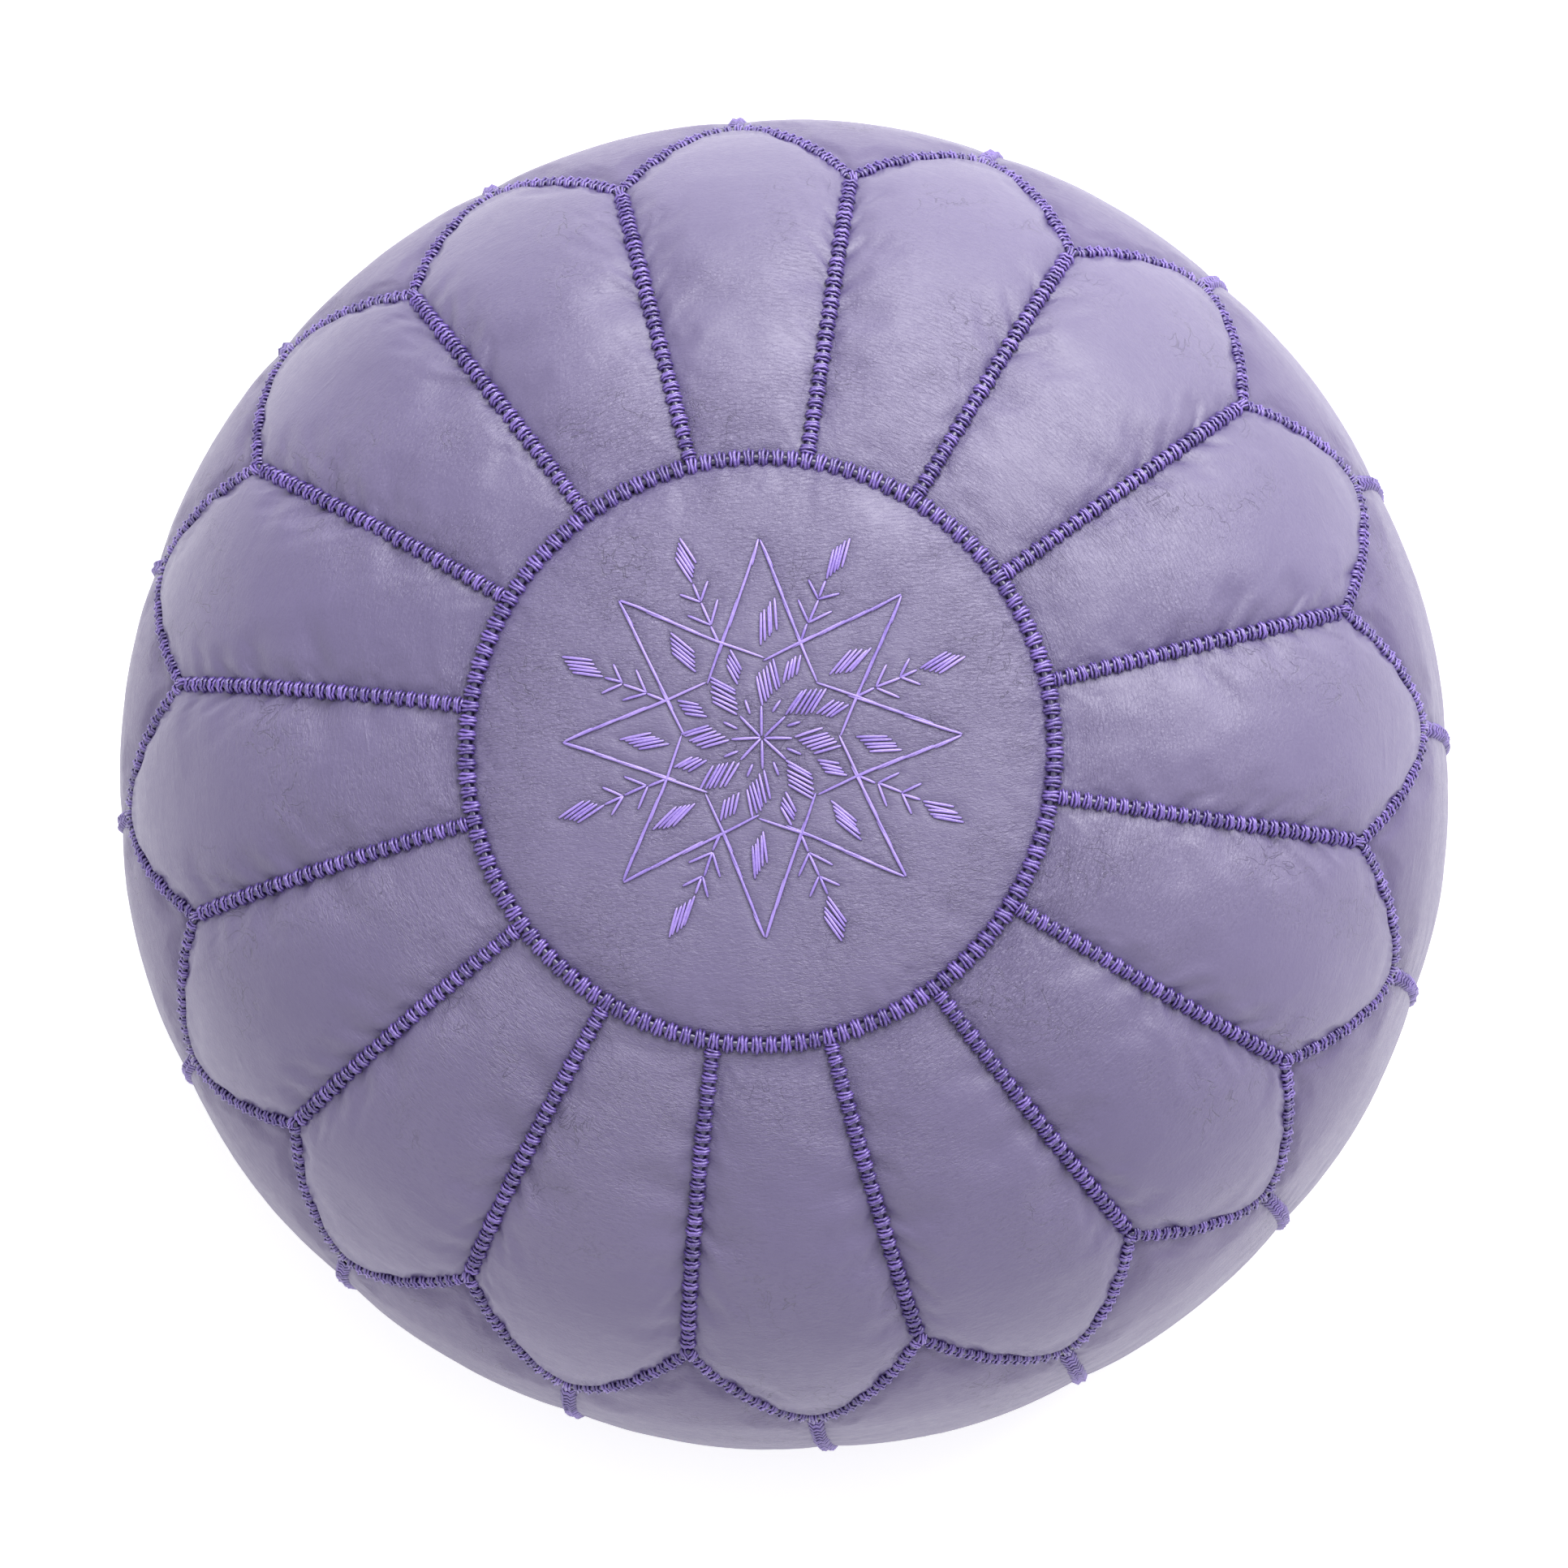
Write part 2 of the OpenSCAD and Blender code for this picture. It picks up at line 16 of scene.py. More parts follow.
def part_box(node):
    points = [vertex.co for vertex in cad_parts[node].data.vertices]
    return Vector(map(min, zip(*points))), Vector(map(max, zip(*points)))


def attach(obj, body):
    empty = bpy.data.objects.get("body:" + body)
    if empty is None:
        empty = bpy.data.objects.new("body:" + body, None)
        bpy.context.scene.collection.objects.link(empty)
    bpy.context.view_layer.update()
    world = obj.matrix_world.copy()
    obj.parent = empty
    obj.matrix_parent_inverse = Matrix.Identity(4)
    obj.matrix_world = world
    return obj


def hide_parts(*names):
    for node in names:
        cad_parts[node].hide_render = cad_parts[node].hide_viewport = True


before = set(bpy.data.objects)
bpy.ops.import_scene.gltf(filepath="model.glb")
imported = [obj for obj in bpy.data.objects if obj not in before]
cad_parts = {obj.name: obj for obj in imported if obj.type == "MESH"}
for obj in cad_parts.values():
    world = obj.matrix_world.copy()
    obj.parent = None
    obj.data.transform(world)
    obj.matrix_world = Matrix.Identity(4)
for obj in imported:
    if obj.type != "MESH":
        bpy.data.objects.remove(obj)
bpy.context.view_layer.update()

# %% [markdown]
# ## Sizes
# The panels are thin, so their boxes give the big sizes: how wide the pouf is at its
# belt, how high its crown is, and how wide the medallion and the base disc are. Sizes
# that boxes can't give, such as where the petal tips lie, repeat the CAD model's rules.
# Two differ from it: the petals' outer edge is blunter, and the medallion's seam is
# wider by RING_OUT.

# %% Sizes from the frame
MM = 0.001
PETALS = 16
STEP = 2 * math.pi / PETALS
LEATHER_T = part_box("bottom_half_left")[1].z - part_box("bottom_half_left")[0].z
EDGE_GAP = 1.1 * MM            # from the middle of a seam to a panel's edge
CORD_H = 3.0 * MM
BELT_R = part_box("side_seams")[1].x - CORD_H
BELT_Z = 155 * MM
CROWN_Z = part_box("top_medallion")[1].z
MEDALLION_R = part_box("top_medallion")[1].x + EDGE_GAP
NOTCH_R = BELT_R - 28.5 * MM
TIP_R = BELT_R - 6.5 * MM
FULLNESS = 1.65                 # how blunt a petal's outer edge is
BASE_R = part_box("bottom_half_left")[1].x + EDGE_GAP
RECESS_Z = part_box("bottom_half_left")[0].z
FOOT_R1 = BELT_R - 60 * MM
FOOT_R0 = FOOT_R1 - 35 * MM
RECESS_R = FOOT_R0 - 22 * MM
RING_OUT = 2 * MM
CORD_END_Z = 25 * MM            # the side cords end this far above the floor
print(f"belt {BELT_R:.3f}, crown {CROWN_Z:.3f}, medallion {MEDALLION_R:.3f}, base {BASE_R:.3f}")

# %% [markdown]
# ## The skin's profile
# Seen from the side the pouf is a squashed ball: a superellipse above its belt, a
# rounder curve below, a flat foot, and a base disc that sits a little above the floor.
# One long line of points holds that profile, and every piece is placed by how far it
# lies along the line, so neighbours always meet.

# %% The profile, by its length from the crown
UPPER_POWER, LOWER_POWER = 2.5, 2.2       # how square the curve is above and below the belt


def superellipse(angle, width, height, power):
    """A quarter curve from straight up to straight out."""
    return np.stack([width * np.sin(angle) ** (2 / power),
                     height * np.cos(angle) ** (2 / power)], axis=-1)


def make_profile():
    turn = np.linspace(0, math.pi / 2, 1200)
    upper = superellipse(turn, BELT_R, CROWN_Z - BELT_Z, UPPER_POWER) + [0, BELT_Z]
    lower = superellipse(turn[::-1], BELT_R - FOOT_R1, BELT_Z, LOWER_POWER)
    lower = np.stack([FOOT_R1 + lower[:, 0], BELT_Z - lower[:, 1]], axis=-1)
    u = np.linspace(0, 1, 200)
    slope = np.stack([FOOT_R0 + (RECESS_R - FOOT_R0) * u,
                      RECESS_Z * (1 - np.cos(math.pi * u)) / 2], axis=-1)
    line = np.concatenate([upper, lower[1:], slope, [[0.0, RECESS_Z]]])
    along = np.concatenate([[0], np.cumsum(np.linalg.norm(np.diff(line, axis=0), axis=1))])
    even = np.linspace(0, along[-1], 4000)
    even_line = np.stack([np.interp(even, along, line[:, k]) for k in (0, 1)], axis=-1)
    return even, even_line


ALONG, LINE = make_profile()
BELT_S = ALONG[LINE[:, 0].argmax()]


def profile(s):
    """Radius and height at length s along the profile, and the way out of the skin there."""
    r, z = np.interp(s, ALONG, LINE[:, 0]), np.interp(s, ALONG, LINE[:, 1])
    e = 2 * MM
    a, b = np.clip(s - e, 0, ALONG[-1]), np.clip(s + e, 0, ALONG[-1])
    dr = np.interp(b, ALONG, LINE[:, 0]) - np.interp(a, ALONG, LINE[:, 0])
    dz = np.interp(b, ALONG, LINE[:, 1]) - np.interp(a, ALONG, LINE[:, 1])
    n = np.hypot(dr, dz)
    return r, z, -dz / n, dr / n


def s_on_top(radius):
    top = ALONG <= BELT_S
    return np.interp(radius, LINE[top, 0], ALONG[top])


def s_under(radius):
    low = ALONG >= BELT_S
    return np.interp(-np.asarray(radius), -LINE[low, 0], ALONG[low])


S_RING, S_BASE = float(s_on_top(MEDALLION_R + RING_OUT)), float(s_under(BASE_R))
belly = (ALONG > BELT_S) & (ALONG < BELT_S + 0.2)
CORD_END_S = float(np.interp(-CORD_END_Z, -LINE[belly, 1], ALONG[belly]))
print(f"profile {ALONG[-1]:.3f} m long, ring at {S_RING:.3f}, base seam at {S_BASE:.3f}")

# %% [markdown]
# ## Natural unevenness
# Hand-cut leather and hand-knotted thread are never quite regular. A small smooth noise
# with a fixed seed gives that unevenness, the same on every run. It also lets the seams
# drift a little from their drawn places, as sewing by eye does: each lies a degree or
# so to one side, and a few millimetres up or down.

# %% Smooth noise, and seams sewn by eye
def hashed(ix, iy, iz, seed):
    h = (ix * 374761393 + iy * 668265263 + iz * 2147483647 + seed * 1274126177) & 0xFFFFFFFF
    h = ((h ^ (h >> 13)) * 1274126177) & 0xFFFFFFFF
    return ((h ^ (h >> 16)) & 0xFFFF) / 32767.5 - 1.0


def noise(p, seed=0):
    """Smooth noise from -1 to 1 at points p, one bump for each unit of length."""
    p = np.asarray(p, float)
    cell = np.floor(p).astype(np.int64)
    f = p - cell
    f = f * f * f * (f * (f * 6 - 15) + 10)
    total = np.zeros(p.shape[:-1])
    for dx in (0, 1):
        for dy in (0, 1):
            for dz in (0, 1):
                w = ((f[..., 0] if dx else 1 - f[..., 0]) * (f[..., 1] if dy else 1 - f[..., 1])
                     * (f[..., 2] if dz else 1 - f[..., 2]))
                total += w * hashed(cell[..., 0] + dx, cell[..., 1] + dy, cell[..., 2] + dz, seed)
    return total


TWIST = math.radians(1.6)                 # the outer ends of the seams lie round the corner
DRIFT = math.radians(0.6)                 # how far a seam wanders round the pouf
CLIMB = 1.6 * MM                          # how far it wanders up or down
TWIST_END_S, FADE_S = 0.295, 0.33         # the twist is full here, and all of it fades from here
UNTWISTED = 0.6                           # share of the way out where the twist is nought
WAVES_ROUND, WAVE_DOWN = 2.6, 0.16        # how often a seam wanders round, and how long downwards


def by_eye(s, angle):
    """Where a drawn place on the skin ends up once it is sewn by eye."""
    s, angle = np.broadcast_arrays(np.asarray(s, float), np.asarray(angle, float))
    share = np.clip((s - S_RING) / (TWIST_END_S - S_RING), 0, 1)
    fade = np.clip((S_BASE - s) / (S_BASE - FADE_S), 0, 1)
    where = np.stack([WAVES_ROUND * np.cos(angle), WAVES_ROUND * np.sin(angle),
                      s / WAVE_DOWN], axis=-1)
    swing = TWIST * (share - UNTWISTED) + DRIFT * noise(where, 71)
    past_ring = s > S_RING - 0.5 * MM         # the medallion itself stays in place
    return s + CLIMB * noise(where, 72) * share * fade, angle + swing * fade * past_ring


def on_skin(s, angle, out=0.0):
    """Points on the skin at length s and angle, moved out of it by out."""
    s, angle = by_eye(s, angle)
    r, z, nr, nz = profile(s)
    r, z = r + nr * out, z + nz * out
    return np.stack([r * np.cos(angle), r * np.sin(angle), z + 0 * angle], axis=-1)


def out_of_skin(s, angle):
    s, angle = by_eye(s, angle)
    _, _, nr, nz = profile(s)
    return np.stack([nr * np.cos(angle), nr * np.sin(angle), nz + 0 * angle], axis=-1)


# %% [markdown]
# ## Where the seams run
# A petal is widest near its outer edge, which runs from a notch between two petals out
# to a blunt tip and back. The same rule gives that scalloped line for every angle, so
# the petals above it and the side panels below it share one edge.

# %% The scalloped line
def s_scallop(angle):
    k = np.asarray(angle) / STEP
    u = 2 * np.abs(k - np.round(k))
    return s_on_top(TIP_R - (TIP_R - NOTCH_R) * u ** FULLNESS)


print("petal from notch to tip, mm:", [round(float(s_scallop(a)) / MM, 1) for a in (STEP / 2, 0)])

# %% [markdown]
# ## The stuffed skin, simulated as cloth
# Stuffing presses the leather out everywhere except along the seams, where the thread
# holds it in. That is a cloth simulation: every panel is a grid whose four borders are
# pinned a little below the surface, and pressure acts on it from inside. All panels go
# through one simulation together. A panel's grid follows its own seams, so its shape
# comes back as a tidy grid that can be refined afterwards.

# %% Grids that follow each panel's seams
SCALLOP_GAP = 1.6 * MM                    # the same gap, measured down the slanting seam
SEAM_SINK = 2.4 * MM                      # how far the thread holds the leather in


def bare_gap(s):
    """From the middle of a seam to the leather: almost nothing below the side cords' ends."""
    return EDGE_GAP - 0.95 * MM * np.clip((s - CORD_END_S + 6 * MM) / (5 * MM), 0, 1)


def crowded(n, amount):
    """n + 1 numbers from 0 to 1, closer together near both ends."""
    u = np.linspace(0, 1, n + 1)
    return u - amount * np.sin(2 * math.pi * u) / (2 * math.pi)


def panel_grid(centre, cols, rows, top, bottom):
    """Angles and lengths of a panel's grid, between its top and bottom seams."""
    across, down = np.meshgrid(2 * crowded(cols, 0.35) - 1, crowded(rows, 0.4))
    angle = centre + across * STEP / 2
    for _ in range(3):
        s = top(angle) + (bottom(angle) - top(angle)) * down
        angle = centre + across * (STEP / 2 - bare_gap(s) / profile(s)[0])
    return angle, s


def petal_grid(k, fine=1):
    return panel_grid(STEP * k, 20 * fine, 34 * fine, lambda a: S_RING + EDGE_GAP + 0 * a,
                      lambda a: s_scallop(a) - SCALLOP_GAP)


def side_grid(k, fine=1):
    return panel_grid(STEP * (k + 0.5), 20 * fine, 60 * fine,
                      lambda a: s_scallop(a) + SCALLOP_GAP, lambda a: S_BASE - EDGE_GAP + 0 * a)


def grid_faces(rows, cols, start=0):
    """Faces of a grid of (rows + 1) by (cols + 1) points, turned to face out of the pouf."""
    a = np.arange(rows)[:, None] * (cols + 1) + np.arange(cols)[None, :] + start
    quads = np.stack([a, a + cols + 1, a + cols + 2, a + 1], axis=-1)
    return quads.reshape(-1, 4)


# %% A disc of even triangles for the medallion
def disc(rings):
    """Radius share and angle of each point, and the triangles between them."""
    share, angle, start = [0.0], [0.0], [0]
    for i in range(1, rings + 1):
        start.append(len(share))
        share += [i / rings] * (6 * i)
        angle += [2 * math.pi * j / (6 * i) for j in range(6 * i)]
    faces = []
    for i in range(1, rings + 1):
        for j in range(6 * i):
            a, b = start[i] + j, start[i] + (j + 1) % (6 * i)
            side, along = divmod(j, i)
            inner = start[i - 1] + (side * (i - 1) + along) % max(6 * (i - 1), 1) if i > 1 else 0
            faces.append((inner, a, b))
            if along < i - 1:
                nxt = start[i - 1] + (side * (i - 1) + along + 1) % (6 * (i - 1))
                faces.append((inner, b, nxt))
    return np.array(share), np.array(angle), np.array(faces)


MEDALLION_RINGS = 36
medallion_share, medallion_angle, medallion_faces = disc(MEDALLION_RINGS)
print("medallion disc:", len(medallion_share), "points,", len(medallion_faces), "triangles")


# %% How deep the seams lie, before the pressure acts
def eased(value, low, high):
    """0 below low, 1 above high, and a smooth step between them."""
    u = np.clip((value - low) / (high - low), 0, 1)
    return u * u * (3 - 2 * u)


def relief(s):
    """How strongly the skin is quilted: fully on top, hardly at the belt, where it is tight."""
    notch, tip = float(s_scallop(STEP / 2)), float(s_scallop(0.0))
    return 1 - 0.5 * eased(s, notch - 50 * MM, tip) - 0.3 * eased(s, tip, tip + 24 * MM)


def seam_depth(distance, s):
    """How far below the skin the leather starts, by its distance from the nearest seam."""
    return -SEAM_SINK * relief(s) * np.exp(-distance / (6 * MM))


def edge_distance(angle, s, centre, top, bottom):
    """Distance from each point of a panel to its side seams, and to its top and bottom."""
    r = profile(s)[0]
    side = r * (STEP / 2 - np.abs(angle - centre))
    ends = np.minimum((s - top) * 0.85, (bottom - s) * 0.85)
    return side, ends


def petal_distance(k, angle, s):
    return edge_distance(angle, s, STEP * k, S_RING, s_scallop(angle))


def side_distance(k, angle, s):
    return edge_distance(angle, s, STEP * (k + 0.5), s_scallop(angle), S_BASE)


# %% Collect every panel into one sheet set and run the cloth simulation
def collect_panels():
    """Points, faces and pins of all panels, and where each panel's points start."""
    points, faces, pins, starts = [], [], [], {}
    count = 0
    for k in range(PETALS):
        for name, grid, far in (("petal", petal_grid, petal_distance),
                                ("side", side_grid, side_distance)):
            angle, s = grid(k)
            side, ends = far(k, angle, s)
            near = np.minimum(side, ends)
            rows, cols = angle.shape[0] - 1, angle.shape[1] - 1
            starts[name, k] = (count, angle.shape)
            points.append(on_skin(s, angle, seam_depth(near, s)).reshape(-1, 3))
            faces += grid_faces(rows, cols, count).tolist()
            rim = np.zeros(angle.shape, bool)
            rim[0], rim[-1], rim[:, 0], rim[:, -1] = True, True, True, True
            pins.append(rim.ravel())
            count += angle.size
    s = medallion_share * (S_RING - EDGE_GAP)
    starts["medallion", 0] = (count, s.shape)
    points.append(on_skin(s, medallion_angle, seam_depth(S_RING - s, s)))
    faces += (medallion_faces + count).tolist()
    pins.append(medallion_share > 0.999)
    return np.concatenate(points), faces, np.concatenate(pins), starts


def new_object(name, points, faces, edges=()):
    mesh = bpy.data.meshes.new(name)
    mesh.from_pydata([tuple(p) for p in np.asarray(points)], list(edges),
                     [tuple(f) for f in faces])
    mesh.update()
    obj = bpy.data.objects.new(name, mesh)
    bpy.context.scene.collection.objects.link(obj)
    return obj


def puffed(points, faces, pins, pressure=12.0, frames=20, slack=0.03):
    """The points after the cloth simulation: pressure inside, pins where the thread is."""
    sheet = new_object("skin_cloth", points, faces)
    group = sheet.vertex_groups.new(name="pins")
    group.add(np.nonzero(pins)[0].tolist(), 1.0, "REPLACE")
    cloth = sheet.modifiers.new("Cloth", "CLOTH")
    rules = cloth.settings
    rules.quality = 6
    rules.mass = 0.02
    rules.vertex_group_mass = "pins"
    rules.effector_weights.gravity = 0
    rules.use_pressure = True
    rules.uniform_pressure_force = pressure
    rules.tension_stiffness = 12
    rules.compression_stiffness = 12
    rules.shear_stiffness = 6
    rules.bending_stiffness = 0.8
    rules.air_damping = 4
    rules.shrink_min = -slack
    cloth.collision_settings.use_collision = False
    cloth.point_cache.frame_start, cloth.point_cache.frame_end = 1, frames
    scene = bpy.context.scene
    for f in range(1, frames + 1):
        scene.frame_set(f)
    done = sheet.evaluated_get(bpy.context.evaluated_depsgraph_get())
    moved = np.empty(len(points) * 3)
    done.data.vertices.foreach_get("co", moved)
    scene.frame_set(1)
    bpy.data.objects.remove(sheet, do_unlink=True)
    return moved.reshape(-1, 3)


# %% [markdown]
# The simulation takes about half a minute.

MOST_OUT = 4.5 * MM                       # no point may stand further out of the skin
points, faces, pins, starts = collect_panels()
after = puffed(points, faces, pins)
swell = after - points
print("cloth points:", len(points), "mean swell, mm:", round(float(np.abs(swell).mean()) / MM, 2))


def swell_of(name, k, angle, s):
    """How each start point of a panel moved, in metres."""
    first, shape = starts[name, k]
    moved = swell[first:first + int(np.prod(shape))].reshape(shape + (3,))
    way = out_of_skin(s, angle)
    out = (moved * way).sum(-1)
    rest = moved - way * out[..., None]
    held = relief(s)
    if name == "petal":                   # pulled tight beside the medallion
        held = held * (0.15 + 0.85 * eased(s, S_RING, S_RING + 85 * MM))
    return way * (MOST_OUT * np.tanh(out * held / MOST_OUT))[..., None] + rest


# %% [markdown]
# ## From cloth to leather panels
# The simulated grid is coarse. Each panel gets a new row and column between every two,
# on a smooth curve through the old ones, and then what leather does near stitching:
# short gathers that run into the thread, longer folds behind them, and slow
# unevenness all over. Attributes are kept for the finish: how near a seam is, how
# strongly this hide took the dye and, on the medallion, where a stitch pulls. The
# finish paints shade beside the seams and round the stitches.

# %% Refining and creasing
def finer(grid):
    """The grid with a point between every two, along both of its ways."""
    for axis in (0, 1):
        g = np.moveaxis(grid, axis, 0)
        wide = np.concatenate([2 * g[:1] - g[1:2], g, 2 * g[-1:] - g[-2:-1]])
        between = (9 * (wide[1:-2] + wide[2:-1]) - (wide[:-3] + wide[3:])) / 16
        out = np.empty((2 * len(g) - 1,) + g.shape[1:])
        out[::2], out[1::2] = g, between
        grid = np.moveaxis(out, 0, axis)
    return grid


SHORT_GATHER, LONG_GATHER = 0.36 * MM, 0.34 * MM      # heights of the two kinds of fold
SLOW_WAVE, SLOW_RIPPLE = 0.6 * MM, 0.25 * MM          # heights of the slow unevenness


def gathers(along, distance, seed, tight=2.7 * MM, loose=8 * MM):
    """Creases that run into a seam: along is measured down the seam."""
    where = np.stack([along / tight, distance / (16 * MM), 0 * along + seed], axis=-1)
    short = noise(where, 11) * np.exp(-distance / (5.5 * MM))
    where = np.stack([along / loose, distance / (45 * MM), 0 * along + seed], axis=-1)
    long = noise(where, 12) * np.exp(-distance / (17 * MM))
    return SHORT_GATHER * short + LONG_GATHER * long


def creases(points, angle, s, side, ends, seed):
    round_way = angle * profile(s)[0]
    slow = (SLOW_WAVE * noise(points / (36 * MM), 21)
            + SLOW_RIPPLE * noise(points / (13 * MM), 22))
    calm = 1 - np.exp(-np.minimum(side, ends) / (10 * MM))
    pulled = gathers(s, side, seed) + gathers(round_way, ends, seed + 7)
    return pulled * relief(s) + slow * calm * (0.4 + 0.6 * relief(s))


def set_attribute(obj, name, values):
    data = obj.data.attributes.new(name, "FLOAT", "POINT").data
    data.foreach_set("value", np.ascontiguousarray(values, dtype=np.float32).ravel())


def set_uv(obj, uv):
    """A UV map in metres on the skin: round it, and down it."""
    layer = obj.data.uv_layers.new(name="skin")
    corners = np.empty(len(obj.data.loops), dtype=np.int32)
    obj.data.loops.foreach_get("vertex_index", corners)
    layer.data.foreach_set("uv", np.ascontiguousarray(uv[corners], dtype=np.float32).ravel())


def smooth(obj):
    obj.data.polygons.foreach_set("use_smooth", [True] * len(obj.data.polygons))


def leather_piece(name, points, faces, near, uv, dye, parts):
    """A panel with its thickness, the attributes that its finish reads, and the CAD nodes that it
    stands for.
    """
    points = points.copy()
    points[:, 2] = np.maximum(points[:, 2], 0.0)
    obj = new_object(name, points, faces)
    # seam: how near a seam is, which the finish uses for painted shade there.
    set_attribute(obj, "seam", np.exp(-near / (8 * MM)))
    set_attribute(obj, "dye", np.full(len(points), dye))
    set_uv(obj, uv)
    smooth(obj)
    wall = obj.modifiers.new("thickness", "SOLIDIFY")
    wall.thickness, wall.offset = LEATHER_T, -1.0
    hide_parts(*parts)
    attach(obj, "root")
    return obj


def leather_panel(kind, k, grid, far, node):
    """One petal or side panel: coarse cloth movement, finer grid, then creases."""
    angle, s = grid(k)
    side, ends = far(k, angle, s)
    moved = swell_of(kind, k, angle, s)
    angle, s = grid(k, 2)
    side, ends = far(k, angle, s)
    near = np.minimum(side, ends)
    start = on_skin(s, angle, seam_depth(near, s)) + finer(moved)
    start += out_of_skin(s, angle) * creases(start, angle, s, side, ends, k * 3.7)[..., None]
    rows, cols = angle.shape[0] - 1, angle.shape[1] - 1
    dye = float(hashed(np.int64(k * 7 + 3), np.int64(len(kind)), np.int64(5), 9))
    centre = STEP * (k if kind == "petal" else k + 0.5)
    uv = np.stack([(angle - centre) * profile(s)[0] + 0.3 * k, s], axis=-1).reshape(-1, 2)
    return leather_piece(node, start.reshape(-1, 3), grid_faces(rows, cols), near.ravel(),
                         uv, dye, [node])


petals = [leather_panel("petal", k, petal_grid, petal_distance, f"top_petal_{k + 1:02d}")
          for k in range(PETALS)]
sides = [leather_panel("side", k, side_grid, side_distance, f"side_panel_{k + 1:02d}")
         for k in range(PETALS)]
print("petals:", len(petals), "side panels:", len(sides), "points each:",
      len(petals[0].data.vertices), len(sides[0].data.vertices))

# %% [markdown]
# ## The star's lines
# The embroidery follows a rule: eight lines, each bent inwards at its waist, join every
# second tip of a star, and leaves and sprigs lie between them. All stitches are listed
# first in plan, by their two ends, because the medallion's leather needs them too:
# thread pulled tight dimples it.

# %% Stitches of the star, its leaves and its sprigs
STAR_TIP, STAR_CROSSING, STAR_WAIST = 77.5 * MM, 39.5 * MM, 29.8 * MM
EIGHTH = math.pi / 4
STAR_TURN = math.radians(-2.6)            # the star isn't quite in line with the petals,
STAR_SHIFT = np.array([1.6, 4.0]) * MM    # nor quite in the middle of the medallion
dice = np.random.default_rng(16)


def plan(radius, angle):
    return np.array([radius * math.cos(angle), radius * math.sin(angle)])


def wobble(p, amount=0.22 * MM):
    """Hand work: no needle goes in quite where it should."""
    return p + STAR_SHIFT + dice.normal(0, amount, 2)


def star_line(centre):
    """Long stitches from tip to tip; each starts beside the middle of the one before."""
    corners = np.array([plan(STAR_TIP, centre - EIGHTH), plan(STAR_CROSSING, centre - EIGHTH / 2),
                        plan(STAR_WAIST, centre), plan(STAR_CROSSING, centre + EIGHTH / 2),
                        plan(STAR_TIP, centre + EIGHTH)])
    along = np.concatenate([[0], np.cumsum(np.linalg.norm(np.diff(corners, axis=0), axis=1))])
    at = lambda d: np.array([np.interp(d, along, corners[:, i]) for i in (0, 1)])
    spots = np.linspace(0, along[-1], 11)
    spots[1:-1] += dice.normal(0, 0.9 * MM, 9)
    stitches = []
    for i in range(-1, 10):
        p = at(max(spots[max(i, 0)] - 0.5 * MM, 0.3 * MM))
        q = at(min(spots[min(i + 2, 10)] + 0.5 * MM, along[-1] - 0.3 * MM))
        way = (q - p) / np.linalg.norm(q - p)
        off = np.array([-way[1], way[0]]) * 0.42 * MM
        if i != 4:                        # none cuts across the bend at the waist
            stitches.append((wobble(p - off, 0.1 * MM), wobble(q + off, 0.1 * MM), 0.6))
    return stitches


def leaf(near, strands, length, slant, cut, angle):
    """Strands side by side that lean one way; their ends make a line that leans the other."""
    way = plan(length, angle + math.radians(slant + dice.normal(0, 2.5)))
    row = plan(1.9 * MM, angle + math.radians(cut + dice.normal(0, 3)))
    feet = [plan(near, angle) + row * i for i in range(strands)]
    return [(wobble(foot), wobble(foot + way), 0.64) for foot in feet]


star_stitches, leaf_stitches, sprig_stitches = [], [], []
for k in range(8):                        # leaf(near, strands, length, slant, cut, angle)
    on = k * EIGHTH + STAR_TURN + dice.normal(0, 0.02)
    between = k * EIGHTH + STAR_TURN + EIGHTH / 2 + dice.normal(0, 0.015)
    star_stitches += star_line(k * EIGHTH + STAR_TURN)
    leaf_stitches += [(wobble(plan(0.8 * MM, on)), wobble(plan(12.2 * MM, on)), 0.64)]
    leaf_stitches += leaf(12.6 * MM, 6, 11.8 * MM, 15, -41, on)
    leaf_stitches += leaf(35.9 * MM, 5, 12.8 * MM, 3.5, -38, on)
    askew = between + dice.normal(0, 0.05)
    leaf_stitches += [(wobble(plan(10.6 * MM, askew)),
                       wobble(plan(16.2 * MM, askew - 0.04)), 0.6)]
    leaf_stitches += leaf(22.8 * MM, 4, 8.9 * MM, 9, -37, between)
    for a, b in ((40.2, 47.6), (48.2, 57.8), (58.4, 65.7)):
        sprig_stitches.append((wobble(plan(a * MM, between)), wobble(plan(b * MM, between)), 0.62))
    for r, length in ((48.0, 10.0), (58.0, 8.8)):
        foot = plan(r * MM, between)
        for turn in (-0.78, 0.74):
            end = foot + plan(length * MM, between + turn + dice.normal(0, 0.06))
            sprig_stitches.append((wobble(foot, 0.1 * MM), wobble(end), 0.6))
    sprig_stitches += leaf(66.2 * MM, 5, 12.4 * MM, 9, -35, between)
print("stitches:", len(star_stitches), len(leaf_stitches), len(sprig_stitches))

# %% [markdown]
# ## The medallion
# A finer disc of triangles takes over the cloth's movement from the coarse one, and
# every stitch presses a soft groove into it.

# %% Medallion leather
FINE_RINGS = 96
GROOVE = 0.4 * MM                         # how deep a stitch presses


def tree_of(points):
    tree = kdtree.KDTree(len(points))
    for i, p in enumerate(points):
        tree.insert((p[0], p[1], p[2] if len(p) > 2 else 0.0), i)
    tree.balance()
    return tree


